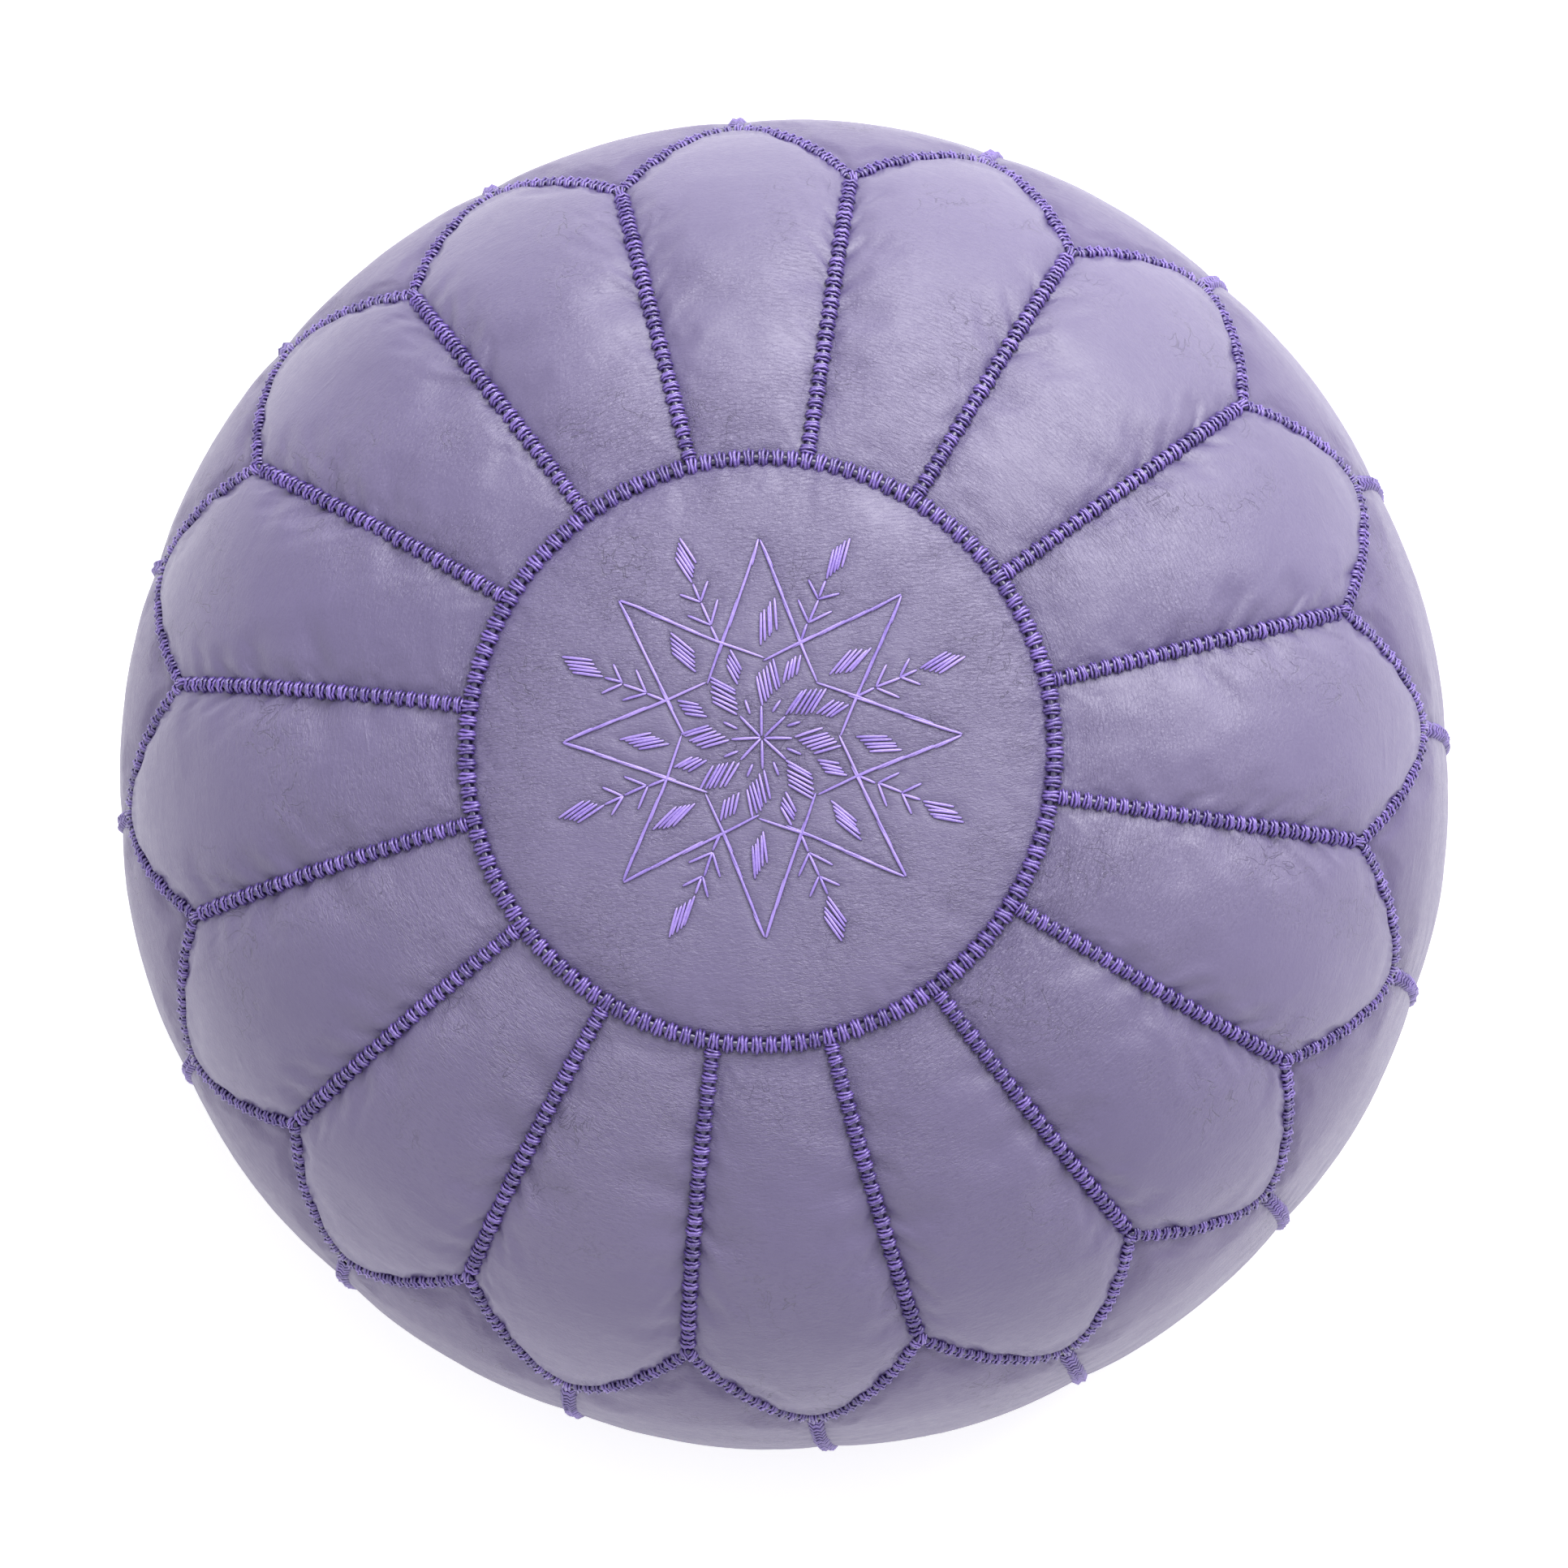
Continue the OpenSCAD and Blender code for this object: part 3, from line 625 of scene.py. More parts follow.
def medallion():
    s = medallion_share * (S_RING - EDGE_GAP)
    moved = swell_of("medallion", 0, medallion_angle, s)
    out = (moved * out_of_skin(s, medallion_angle)).sum(-1)
    out = out * 0.6
    start = tree_of(on_skin(s, medallion_angle))
    share, angle, faces = disc(FINE_RINGS)
    s = share * (S_RING - EDGE_GAP)
    fine = on_skin(s, angle)
    carried = np.empty(len(fine))
    for i, p in enumerate(fine):
        close = start.find_n(p, 4)
        weight = np.array([1 / (c[2] + 1e-5) ** 2 for c in close])
        carried[i] = (weight * out[[c[1] for c in close]]).sum() / weight.sum()
    pressed = np.concatenate([np.linspace(p, q, 16) for p, q, _ in
                              star_stitches + leaf_stitches + sprig_stitches])
    stitched = tree_of(np.column_stack([pressed, np.zeros(len(pressed))]))
    gap = np.array([stitched.find((p[0], p[1], 0.0))[2] for p in fine])
    near = S_RING - s
    groove = -GROOVE * np.exp(-(gap / (2.4 * MM)) ** 2)
    height = (seam_depth(near, s) + carried + groove + 0.25 * MM * noise(fine / (14 * MM), 31)
              + gathers(angle * S_RING, near, 2.0))
    fine = on_skin(s, angle, height)
    obj = leather_piece("top_medallion", fine, faces, near, fine[:, :2], 0.3, ["top_medallion"])
    # pulled: how near a stitch is; the finish paints shade there.
    set_attribute(obj, "pulled", np.exp(-(gap / (1.1 * MM)) ** 2))
    return obj, bvhtree.BVHTree.FromPolygons([tuple(p) for p in fine],
                                             [tuple(int(i) for i in f) for f in faces])


medallion_leather, medallion_surface = medallion()
print("medallion:", len(medallion_leather.data.vertices), "points")

# %% [markdown]
# ## Knotted cords
# On the real pouf every seam is covered with thick thread, wound over the join again and
# again, so it looks like a row of knots with two humps each. One knot has about
# eighty faces: three strands that rise over one panel's edge, dip in the middle, and
# rise over the other's. Geometry Nodes then lay such knots along every seam, at a
# fixed spacing and turned to the skin, which is what a node tree does best.

# %% One knot of three strands
KNOT_W = 6.2 * MM
STRANDS = ((-1.22, 0.72, 0.80), (0.0, 1.06, 1.0), (1.22, 0.78, 0.84))   # place, height, width


def knot():
    """Three strands across the seam: X runs along it, Y across it, Z out of the skin."""
    thick = 0.7 * MM
    path = [(-1.0, -1.3), (-0.85, 0.9), (-0.42, 2.35), (0.0, 1.75), (0.42, 2.35), (0.85, 0.9),
            (1.0, -1.3)]
    points, faces, crest = [], [], []
    for n, (x, tall, wide) in enumerate(STRANDS):
        first = len(points)
        for i, (y, z) in enumerate(path):
            before, after = path[max(i - 1, 0)], path[min(i + 1, len(path) - 1)]
            way = Vector((0, (after[0] - before[0]) * wide * KNOT_W / 2 / MM, after[1] - before[1]))
            side_way = Vector((1, 0, 0))
            up = side_way.cross(way.normalized())
            slant = 0.22 * math.sin(y * 3.0 + n * 1.9)
            middle = Vector(((x + slant) * MM, y * wide * KNOT_W / 2, z * MM * tall))
            # Painted light for each side of a strand: full on top, none underneath, less near the
            # feet.
            for j, light in enumerate((0.3, 1.0, 0.3, 0.0)):
                turn = j * math.pi / 2
                points.append(middle + side_way * (thick * math.cos(turn))
                              + up * (thick * math.sin(turn)))
                crest.append(light * (1.0 if z > 1 else 0.75 if z > 0 else 0.0))
        for i in range(len(path) - 1):
            for j in range(4):
                a, b = first + i * 4 + j, first + i * 4 + (j + 1) % 4
                faces.append((a, a + 4, b + 4, b))
        last = first + (len(path) - 1) * 4
        faces += [tuple(first + j for j in range(4)), tuple(last + j for j in reversed(range(4)))]
    obj = new_object("knot_pattern", points, faces)
    set_attribute(obj, "crest", np.array(crest))
    smooth(obj)
    return obj


knot_pattern = knot()
print("faces of a knot:", len(knot_pattern.data.polygons))


# %% Seam lines as edges, each point knowing the way out of the skin
CORD_BASE = -1.2 * MM                     # the knots' feet lie in the valley


def seam_lines(name, lines):
    """One mesh of open or closed lines; a line is (lengths, angles, closed)."""
    points, out, edges = [], [], []
    for s, angle, closed in lines:
        first = len(points)
        points += list(on_skin(s, angle, CORD_BASE))
        out += list(out_of_skin(s, angle))
        count = len(s)
        edges += [(first + i, first + (i + 1) % count)
                  for i in range(count if closed else count - 1)]
    obj = new_object(name, points, [], edges)
    data = obj.data.attributes.new("way_out", "FLOAT_VECTOR", "POINT").data
    data.foreach_set("vector", np.array(out, dtype=np.float32).ravel())
    return obj


# %% A small helper for building node trees
def add_node(tree, kind, inputs=(), **settings):
    """A node with its settings, and its inputs either linked or given a value."""
    node = tree.nodes.new(kind)
    for name, value in settings.items():
        setattr(node, name, value)
    for key, value in dict(inputs).items():
        socket = node.inputs[key]
        if isinstance(value, bpy.types.NodeSocket):
            tree.links.new(value, socket)
        else:
            socket.default_value = value
    return node


def math_node(tree, operation, a, b=0.0):
    return add_node(tree, "ShaderNodeMath", {0: a, 1: b}, operation=operation).outputs[0]


def named(tree, name, kind="FLOAT"):
    """An attribute of the points, inside a geometry tree."""
    return add_node(tree, "GeometryNodeInputNamedAttribute", {"Name": name},
                    data_type=kind).outputs["Attribute"]


def stored(tree, geometry, name, value, domain="POINT"):
    """The geometry with a number kept on it, for the finishes to read."""
    return add_node(tree, "GeometryNodeStoreNamedAttribute",
                    {"Geometry": geometry, "Name": name, "Value": value},
                    data_type="FLOAT", domain=domain).outputs[0]


def new_geometry_tree(name, inputs):
    """An empty tree with a geometry input and output, and the named inputs besides."""
    tree = bpy.data.node_groups.new(name, "GeometryNodeTree")
    tree.interface.new_socket("Geometry", in_out="INPUT", socket_type="NodeSocketGeometry")
    for label, kind in inputs:
        tree.interface.new_socket(label, in_out="INPUT", socket_type="NodeSocket" + kind)
    tree.interface.new_socket("Geometry", in_out="OUTPUT", socket_type="NodeSocketGeometry")
    return tree, tree.nodes.new("NodeGroupInput").outputs, tree.nodes.new("NodeGroupOutput").inputs


def grown(obj, tree, name, **values):
    """The plain mesh object that the tree makes of obj, which it then replaces."""
    modifier = obj.modifiers.new("nodes", "NODES")
    modifier.node_group = tree
    sockets = {item.name: item.identifier for item in tree.interface.items_tree
               if item.item_type == "SOCKET" and item.in_out == "INPUT"}
    for label, value in values.items():
        modifier[sockets[label.replace("_", " ")]] = value
    graph = bpy.context.evaluated_depsgraph_get()
    mesh = bpy.data.meshes.new_from_object(obj.evaluated_get(graph), depsgraph=graph)
    bpy.data.objects.remove(obj, do_unlink=True)
    made = bpy.data.objects.new(name, mesh)
    mesh.name = name
    bpy.context.scene.collection.objects.link(made)
    return made


# %% The tree that lays knots along a seam
def knotted_cord_tree():
    tree, given, result = new_geometry_tree("knotted_cord", [
        ("Knot", "Object"), ("Size", "Float"), ("Spacing", "Float"), ("Uneven", "Float"),
        ("Core radius", "Float"), ("Seed", "Int"), ("Thread", "Material")])
    lines = add_node(tree, "GeometryNodeMeshToCurve", {0: given["Geometry"]}).outputs[0]
    spots = add_node(tree, "GeometryNodeCurveToPoints",
                     {"Curve": lines, "Length": given["Spacing"]}, mode="LENGTH")
    way_out = named(tree, "way_out", "FLOAT_VECTOR")
    turned = add_node(tree, "FunctionNodeAxesToRotation",
                      {"Primary Axis": way_out, "Secondary Axis": spots.outputs["Tangent"]},
                      primary_axis="Z", secondary_axis="X").outputs[0]
    tilt = add_node(tree, "FunctionNodeRandomValue",
                    {0: (-0.06, -0.06, -0.10), 1: (0.06, 0.06, 0.10), "Seed": given["Seed"]},
                    data_type="FLOAT_VECTOR").outputs[0]
    tilt = add_node(tree, "FunctionNodeEulerToRotation", {0: tilt}).outputs[0]
    turned = add_node(tree, "FunctionNodeRotateRotation", {0: turned, 1: tilt},
                      rotation_space="LOCAL").outputs[0]
    less = math_node(tree, "SUBTRACT", given["Size"], given["Uneven"])
    more = math_node(tree, "ADD", given["Size"], given["Uneven"])
    size = add_node(tree, "FunctionNodeRandomValue", {0: less, 1: more, "Seed": given["Seed"]},
                    data_type="FLOAT_VECTOR").outputs[0]
    shape = add_node(tree, "GeometryNodeObjectInfo", {"Object": given["Knot"]}).outputs["Geometry"]
    knots = add_node(tree, "GeometryNodeInstanceOnPoints",
                     {"Points": spots.outputs["Points"], "Instance": shape, "Rotation": turned,
                      "Scale": size}).outputs[0]
    tone = add_node(tree, "FunctionNodeRandomValue", {"Seed": given["Seed"]},
                    data_type="FLOAT").outputs[1]
    knots = stored(tree, knots, "tone", tone, "INSTANCE")
    # The core under the knots carries no painted light, so the finish gives it the dark gap colour:
    # a tube of painted shade in the valley under the knots.
    ring = add_node(tree, "GeometryNodeCurvePrimitiveCircle",
                    {"Resolution": 6, "Radius": given["Core radius"]}).outputs[0]
    core = add_node(tree, "GeometryNodeCurveToMesh",
                    {"Curve": lines, "Profile Curve": ring, "Fill Caps": True}).outputs[0]
    core = stored(tree, core, "tone", -1.0)
    both = add_node(tree, "GeometryNodeJoinGeometry")
    tree.links.new(knots, both.inputs[0])
    tree.links.new(core, both.inputs[0])
    real = add_node(tree, "GeometryNodeRealizeInstances", {0: both.outputs[0]}).outputs[0]
    done = add_node(tree, "GeometryNodeSetMaterial",
                    {"Geometry": real, "Material": given["Thread"]}).outputs[0]
    tree.links.new(done, result[0])
    return tree


CORD_TREE = knotted_cord_tree()
print("nodes in the cord tree:", len(CORD_TREE.nodes))

# %% [markdown]
# ## Finishes
# Each finish is a small node tree on object coordinates or on the attributes stored
# above, so it stays with the piece wherever it moves.

# %% Helpers for finishes
def srgb(r, g, b):
    """A linear colour from everyday 0 to 255 numbers."""
    part = lambda c: c / 12.92 if c <= 0.04045 else ((c + 0.055) / 1.055) ** 2.4
    return (part(r / 255), part(g / 255), part(b / 255), 1.0)


def new_finish(name, **numbers):
    finish = bpy.data.materials.new(name)
    finish.use_nodes = True
    shader = finish.node_tree.nodes["Principled BSDF"]
    for label, value in numbers.items():
        shader.inputs[label.replace("_", " ")].default_value = value
    return finish, finish.node_tree, shader


def mixed(tree, share, a, b):
    """Colour a where share is 0, colour b where it is 1."""
    node = add_node(tree, "ShaderNodeMix", {"Factor": share, 6: a, 7: b}, data_type="RGBA")
    return node.outputs[2]


def noise_node(tree, where, scale, detail=2.0, rough=0.5, distort=0.0, kind="FBM"):
    return add_node(tree, "ShaderNodeTexNoise",
                    {"Vector": where, "Scale": scale, "Detail": detail, "Roughness": rough,
                     "Distortion": distort}, noise_type=kind).outputs[0]


def ranged(tree, value, low, high, to_low=0.0, to_high=1.0):
    return add_node(tree, "ShaderNodeMapRange",
                    {0: value, 1: low, 2: high, 3: to_low, 4: to_high}).outputs[0]


def attribute(tree, name):
    return add_node(tree, "ShaderNodeAttribute", attribute_name=name).outputs["Fac"]


def bumped(tree, shader, layers):
    """Bump layers on top of each other: (height, depth in metres, strength)."""
    normal = None
    for height, depth, strength in layers:
        inputs = {"Height": height, "Distance": depth, "Strength": strength}
        if normal is not None:
            inputs["Normal"] = normal
        normal = add_node(tree, "ShaderNodeBump", inputs).outputs[0]
    tree.links.new(normal, shader.inputs["Normal"])


# %% Dyed leather
def dyed_leather(name, shine, light, dark):
    """Smooth waxed hide with fine wrinkles, most of them round the medallion."""
    finish, tree, shader = new_finish(name, Specular_IOR_Level=shine, Coat_Weight=0.3 * shine,
                                      Coat_Roughness=0.42)
    where = add_node(tree, "ShaderNodeTexCoord").outputs["Object"]
    skin = add_node(tree, "ShaderNodeUVMap", uv_map="skin").outputs[0]
    stretched = add_node(tree, "ShaderNodeMapping",
                         {"Vector": skin, "Scale": (0.36, 1.0, 1.0)}).outputs[0]
    down = add_node(tree, "ShaderNodeSeparateXYZ", {0: skin}).outputs["Y"]
    seam = attribute(tree, "seam")
    dye = attribute(tree, "dye")
    cloud = noise_node(tree, where, 13.0, 4.0, 0.6)
    speck = noise_node(tree, where, 260.0, 4.0, 0.65)
    patches = noise_node(tree, where, 26.0, 2.0, 0.5)
    wrinkle = noise_node(tree, stretched, 950.0, 3.0, 0.6, 1.1)
    fold = noise_node(tree, stretched, 120.0, 4.0, 0.55, 1.4, "RIDGED_MULTIFRACTAL")
    crease = noise_node(tree, where, 75.0, 3.0, 0.55, 0.8)
    crease = math_node(tree, "ABSOLUTE", math_node(tree, "SUBTRACT", crease, 0.5))
    crease = math_node(tree, "MULTIPLY", ranged(tree, crease, 0.0, 0.012, 1.0, 0.0),
                       ranged(tree, patches, 0.55, 0.68))
    pores = add_node(tree, "ShaderNodeTexVoronoi", {"Vector": where, "Scale": 900.0},
                     feature="SMOOTH_F1").outputs[0]
    worked = math_node(tree, "MULTIPLY", ranged(tree, patches, 0.36, 0.62, 0.35, 1.0),
                       ranged(tree, down, 0.13, 0.24, 1.0, 0.4))
    colour = mixed(tree, ranged(tree, cloud, 0.3, 0.7), dark, light)
    colour = mixed(tree, ranged(tree, dye, -1.0, 1.0, 0.0, 0.3), colour, srgb(108, 98, 134))
    # Painted shade in the valleys of the fine wrinkles, which the bump below also sinks.
    dark = math_node(tree, "MULTIPLY", ranged(tree, wrinkle, 0.3, 0.52, 0.6, 0.0), worked)
    colour = mixed(tree, dark, colour, srgb(62, 46, 98))
    # Painted shade beside the seams, where the leather dips under the cords; the speck noise makes
    # it uneven.
    near = math_node(tree, "MULTIPLY", ranged(tree, seam, 0.3, 0.95),
                     ranged(tree, speck, 0.3, 0.7, 0.7, 1.0))
    colour = mixed(tree, math_node(tree, "MULTIPLY", near, 0.7), colour, srgb(58, 42, 100))
    # Painted shade round each stitch of the embroidery, from the pulled attribute.
    colour = mixed(tree, math_node(tree, "MULTIPLY", attribute(tree, "pulled"), 0.6), colour,
                   srgb(48, 32, 84))
    # Painted shade in the fine crease lines, which the bump below also sinks.
    colour = mixed(tree, math_node(tree, "MULTIPLY", crease, 0.5), colour, srgb(44, 32, 70))
    tree.links.new(colour, shader.inputs["Base Color"])
    tree.links.new(ranged(tree, speck, 0.3, 0.75, 0.41, 0.53), shader.inputs["Roughness"])
    depth = math_node(tree, "MULTIPLY", wrinkle, worked)
    sunk = math_node(tree, "MULTIPLY", crease, -1.0)
    bumped(tree, shader, [(fold, 0.0007, 0.35), (sunk, 0.0004, 0.6), (depth, 0.0010, 0.9),
                          (pores, 0.0002, 0.35)])
    return finish


def thread_finish(name, gap, deep, bright, rough):
    """Shiny twisted thread, with painted shade between and under its strands and a painted
    highlight along the top of each.
    """
    finish, tree, shader = new_finish(name, Sheen_Weight=0.15, Sheen_Roughness=0.35,
                                      Specular_IOR_Level=1.0, Coat_Weight=0.5, Coat_Roughness=0.22)
    where = add_node(tree, "ShaderNodeTexCoord").outputs["Object"]
    tone = attribute(tree, "tone")
    fibre = noise_node(tree, where, 900.0, 3.0, 0.6)
    colour = mixed(tree, ranged(tree, tone, 0.0, 1.0), deep, bright)
    # Lighter fibres, painted as small highlights on the thread.
    colour = mixed(tree, ranged(tree, fibre, 0.5, 0.75, 0.0, 0.5), colour, srgb(186, 164, 228))
    # Painted shade in the gaps and under the strands, and painted light along their tops.
    colour = mixed(tree, ranged(tree, attribute(tree, "crest"), 0.15, 0.85), gap, colour)
    tree.links.new(colour, shader.inputs["Base Color"])
    tree.links.new(ranged(tree, fibre, 0.3, 0.8, rough, rough + 0.15), shader.inputs["Roughness"])
    bumped(tree, shader, [(fibre, 0.0002, 0.5)])
    return finish


LEATHER = dyed_leather("dyed_leather", 1.0, srgb(97, 86, 127), srgb(85, 74, 116))
# The side panels get a darker, less shiny copy of the same leather: painted shade on the sides.
SHADED_SIDE_LEATHER = dyed_leather("dyed_leather_sides_shaded", 0.6, srgb(93, 82, 121), srgb(82, 71, 111))
CORD_THREAD = thread_finish("cord_thread", srgb(34, 12, 82), srgb(72, 44, 136),
                            srgb(122, 92, 190), 0.25)
SILK_THREAD = thread_finish("embroidery_thread", srgb(34, 18, 74), srgb(126, 100, 190),
                            srgb(156, 130, 214), 0.28)
for obj in petals + sides + [medallion_leather]:
    obj.data.materials.append(SHADED_SIDE_LEATHER if obj in sides else LEATHER)
print("finishes:", [m.name for m in (LEATHER, CORD_THREAD, SILK_THREAD)])

# %% Lay the knotted cords
def cord_piece(name, lines, size, spacing, seed, node):
    obj = grown(seam_lines(name + "_lines", lines), CORD_TREE, name, Knot=knot_pattern, Size=size,
                Spacing=spacing, Uneven=0.07, Core_radius=1.6 * MM, Seed=seed, Thread=CORD_THREAD)
    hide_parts(node)
    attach(obj, "root")
    print(name, "triangles:", sum(len(p.vertices) - 2 for p in obj.data.polygons))


CORD_CLEAR = 4.6 * MM                     # an ending seam stops short of the next one
whole_turn = np.arange(720) * 2 * math.pi / 720
cord_piece("medallion_ring_seam", [(S_RING + 0 * whole_turn, whole_turn, True)],
           1.16, 5.6 * MM, 1, "medallion_ring_seam")
cord_piece("petal_seams", [
    (np.linspace(S_RING + CORD_CLEAR, float(s_scallop(STEP / 2)) - CORD_CLEAR, 80),
     np.full(80, STEP * (k + 0.5)), False) for k in range(PETALS)],
           1.0, 4.75 * MM, 2, "petal_seams")
scallop_turn = np.arange(40 * PETALS) * 2 * math.pi / (40 * PETALS)
cord_piece("scallop_seam", [(s_scallop(scallop_turn), scallop_turn, True)],
           0.94, 4.6 * MM, 3, "scallop_seam")
cord_piece("side_seams", [
    (np.linspace(float(s_scallop(0.0)) + CORD_CLEAR, CORD_END_S, 110),
     np.full(110, STEP * k), False) for k in range(PETALS)],
           1.0, 4.9 * MM, 4, "side_seams")
cord_piece("base_ring_seam", [(S_BASE + 0 * whole_turn, whole_turn, True)],
           1.1, 5.5 * MM, 5, "base_ring_seam")

# %% [markdown]
# ## Embroidery
# Every stitch is one strand that leaves the leather, lies over it in a low arch and
# goes back in. A second node tree makes a strand of each line of points, thinner at its
# two ends.

# %% The tree that makes stitches
def stitch_tree():
    tree, given, result = new_geometry_tree("stitches", [
        ("Arch", "Float"), ("Sides", "Int"), ("Thread", "Material")])
    lines = add_node(tree, "GeometryNodeMeshToCurve", {0: given["Geometry"]}).outputs[0]
    share = add_node(tree, "GeometryNodeSplineParameter").outputs["Factor"]
    wave = math_node(tree, "SINE", math_node(tree, "MULTIPLY", share, math.pi))
    hump = math_node(tree, "POWER", wave, 0.55)
    way_out = named(tree, "way_out", "FLOAT_VECTOR")
    lift = math_node(tree, "MULTIPLY", hump, given["Arch"])
    offset = add_node(tree, "ShaderNodeVectorMath", {0: way_out, "Scale": lift},
                      operation="SCALE").outputs[0]
    lines = add_node(tree, "GeometryNodeSetPosition",
                     {"Geometry": lines, "Offset": offset}).outputs[0]
    radius = math_node(tree, "MULTIPLY", named(tree, "fat"),
                       ranged(tree, hump, 0.0, 0.8, 0.45, 1.0))
    lines = add_node(tree, "GeometryNodeSetCurveRadius",
                     {"Curve": lines, "Radius": radius}).outputs[0]
    ring = add_node(tree, "GeometryNodeCurvePrimitiveCircle",
                    {"Resolution": given["Sides"], "Radius": 1.0}).outputs[0]
    tube = add_node(tree, "GeometryNodeCurveToMesh",
                    {"Curve": lines, "Profile Curve": ring, "Fill Caps": True})
    if "Scale" in tube.inputs:
        tree.links.new(radius, tube.inputs["Scale"])
    soft = add_node(tree, "GeometryNodeSetShadeSmooth", {"Geometry": tube.outputs[0]}).outputs[0]
    # Painted shade on the underside of each strand, and painted light on its top.
    upward = add_node(tree, "ShaderNodeVectorMath", {
        0: add_node(tree, "GeometryNodeInputNormal").outputs[0], 1: way_out},
        operation="DOT_PRODUCT").outputs["Value"]
    crest = math_node(tree, "MULTIPLY", named(tree, "crest"), ranged(tree, upward, -0.1, 0.8))
    soft = stored(tree, soft, "crest", crest)
    real = add_node(tree, "GeometryNodeRealizeInstances", {0: soft}).outputs[0]
    done = add_node(tree, "GeometryNodeSetMaterial",
                    {"Geometry": real, "Material": given["Thread"]}).outputs[0]
    tree.links.new(done, result[0])
    return tree


STITCH_TREE = stitch_tree()


# %% Stitches on the medallion
SHARES = (0.0, 0.05, 0.16, 0.36, 0.64, 0.84, 0.95, 1.0)


def stitch_lines(name, stitches, surface, toward, shares=SHARES):
    """Each stitch as a line of points that follows the surface below it, with painted shade where
    it goes in.
    """
    points, out, fat, tone, crest, edges = [], [], [], [], [], []
    for n, (p, q, thick) in enumerate(stitches):
        first = len(points)
        for share in shares:
            x, y = p + (q - p) * share
            spot, normal, _, _ = surface.ray_cast(Vector((x, y, -toward)), Vector((0, 0, toward)))
            if normal.z * toward > 0:
                normal = -normal
            points.append(tuple(spot))
            out.append(tuple(normal))
            fat.append(thick * MM)
            tone.append(float(hashed(np.int64(n), np.int64(7), np.int64(1), 4)) * 0.5 + 0.5)
            # Painted shade at both ends, where the thread goes into the leather.
            crest.append(0.0 if share in (0.0, 1.0) else 1.0)
        edges += [(first + i, first + i + 1) for i in range(len(shares) - 1)]
    obj = new_object(name, points, [], edges)
    obj.data.attributes.new("way_out", "FLOAT_VECTOR", "POINT").data.foreach_set(
        "vector", np.array(out, dtype=np.float32).ravel())
    set_attribute(obj, "fat", np.array(fat))
    set_attribute(obj, "tone", np.array(tone))
    set_attribute(obj, "crest", np.array(crest))
    return obj


def stitched_piece(name, stitches, node):
    obj = grown(stitch_lines(name + "_lines", stitches, medallion_surface, -1.0), STITCH_TREE,
                name, Arch=0.6 * MM, Sides=8, Thread=SILK_THREAD)
    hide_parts(node)
    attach(obj, "root")
    print(name, "triangles:", sum(len(p.vertices) - 2 for p in obj.data.polygons))


stitched_piece("star_outline", star_stitches, "star_outline")
stitched_piece("leaf_stitches", leaf_stitches, "leaf_stitches")
stitched_piece("sprig_stitches", sprig_stitches, "sprig_stitches")

# %% [markdown]
# ## The base
# The base disc is two half rounds of leather with the zip between them. It hangs a
# little above the floor, so it is almost flat, sagging a little between its edge and the
# zip, with a row of stitches along each side of the zip.

# %% Base halves
ZIP_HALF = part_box("bottom_half_left")[0].y


def half_disc(side, columns=72, rows=34):
    radius = BASE_R - EDGE_GAP
    far = math.sqrt(radius ** 2 - ZIP_HALF ** 2)
    x = -far * np.cos(math.pi * np.linspace(0, 1, columns + 1))[None, :] * np.ones((rows + 1, 1))
    share = np.linspace(0, 1, rows + 1)[:, None]
    y = ZIP_HALF + (np.sqrt(np.maximum(radius ** 2 - x ** 2, 0)) - ZIP_HALF) * share
    near_ring = radius - np.hypot(x, y)
    near_zip = y - ZIP_HALF
    flat = np.stack([x, y, 0 * x], axis=-1)
    puff = (1.6 * MM * (1 - np.exp(-near_ring / (9 * MM))) * (1 - np.exp(-near_zip / (14 * MM)))
            + 0.7 * MM * (0.5 + 0.5 * noise(flat / (26 * MM), 41))
            * (1 - np.exp(-near_zip / (10 * MM))))
    z = RECESS_Z - puff
    points = np.stack([x, y * side, z], axis=-1).reshape(-1, 3)
    faces = grid_faces(rows, columns)
    if side < 0:
        faces = faces[:, ::-1]
    return points, faces, np.minimum(near_ring, near_zip + 3 * MM).ravel()


def tidy_up(obj):
    """Joins points that lie together, and drops faces that this leaves empty."""
    work = bmesh.new()
    work.from_mesh(obj.data)
    bmesh.ops.remove_doubles(work, verts=work.verts, dist=0.02 * MM)
    work.to_mesh(obj.data)
    work.free()


base_halves = []
for side, name in ((1, "bottom_half_left"), (-1, "bottom_half_right")):
    points, faces, near = half_disc(side)
    obj = leather_piece(name, points, faces, near, points[:, :2], 0.0, [name])
    tidy_up(obj)
    obj.data.materials.append(LEATHER)
    base_halves.append(obj)
print("base halves:", [len(o.data.vertices) for o in base_halves])

# %% Topstitching along the zip
ROW_START, STITCH_PITCH, STITCHES = -0.115, 0.0048, 48
base_surface = bvhtree.BVHTree.FromPolygons(
    [tuple(v.co) for o in base_halves for v in o.data.vertices],
    [tuple(i + n * len(base_halves[0].data.vertices) for i in p.vertices)
     for n, o in enumerate(base_halves) for p in o.data.polygons])
topstitches = []
for side in (-1, 1):
    y = side * (ZIP_HALF + 3.2 * MM)
    for i in range(STITCHES):
        x = ROW_START + i * STITCH_PITCH
        spot = np.array([x, y]) + dice.normal(0, 0.1 * MM, 2)
        topstitches.append((spot, spot + [3.6 * MM, 0], 0.42))
zip_stitches = grown(stitch_lines("zip_topstitch_lines", topstitches, base_surface, 1.0),
                     STITCH_TREE, "zip_topstitch", Arch=0.45 * MM, Sides=6, Thread=SILK_THREAD)
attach(zip_stitches, "root")
print("topstitches:", len(topstitches))

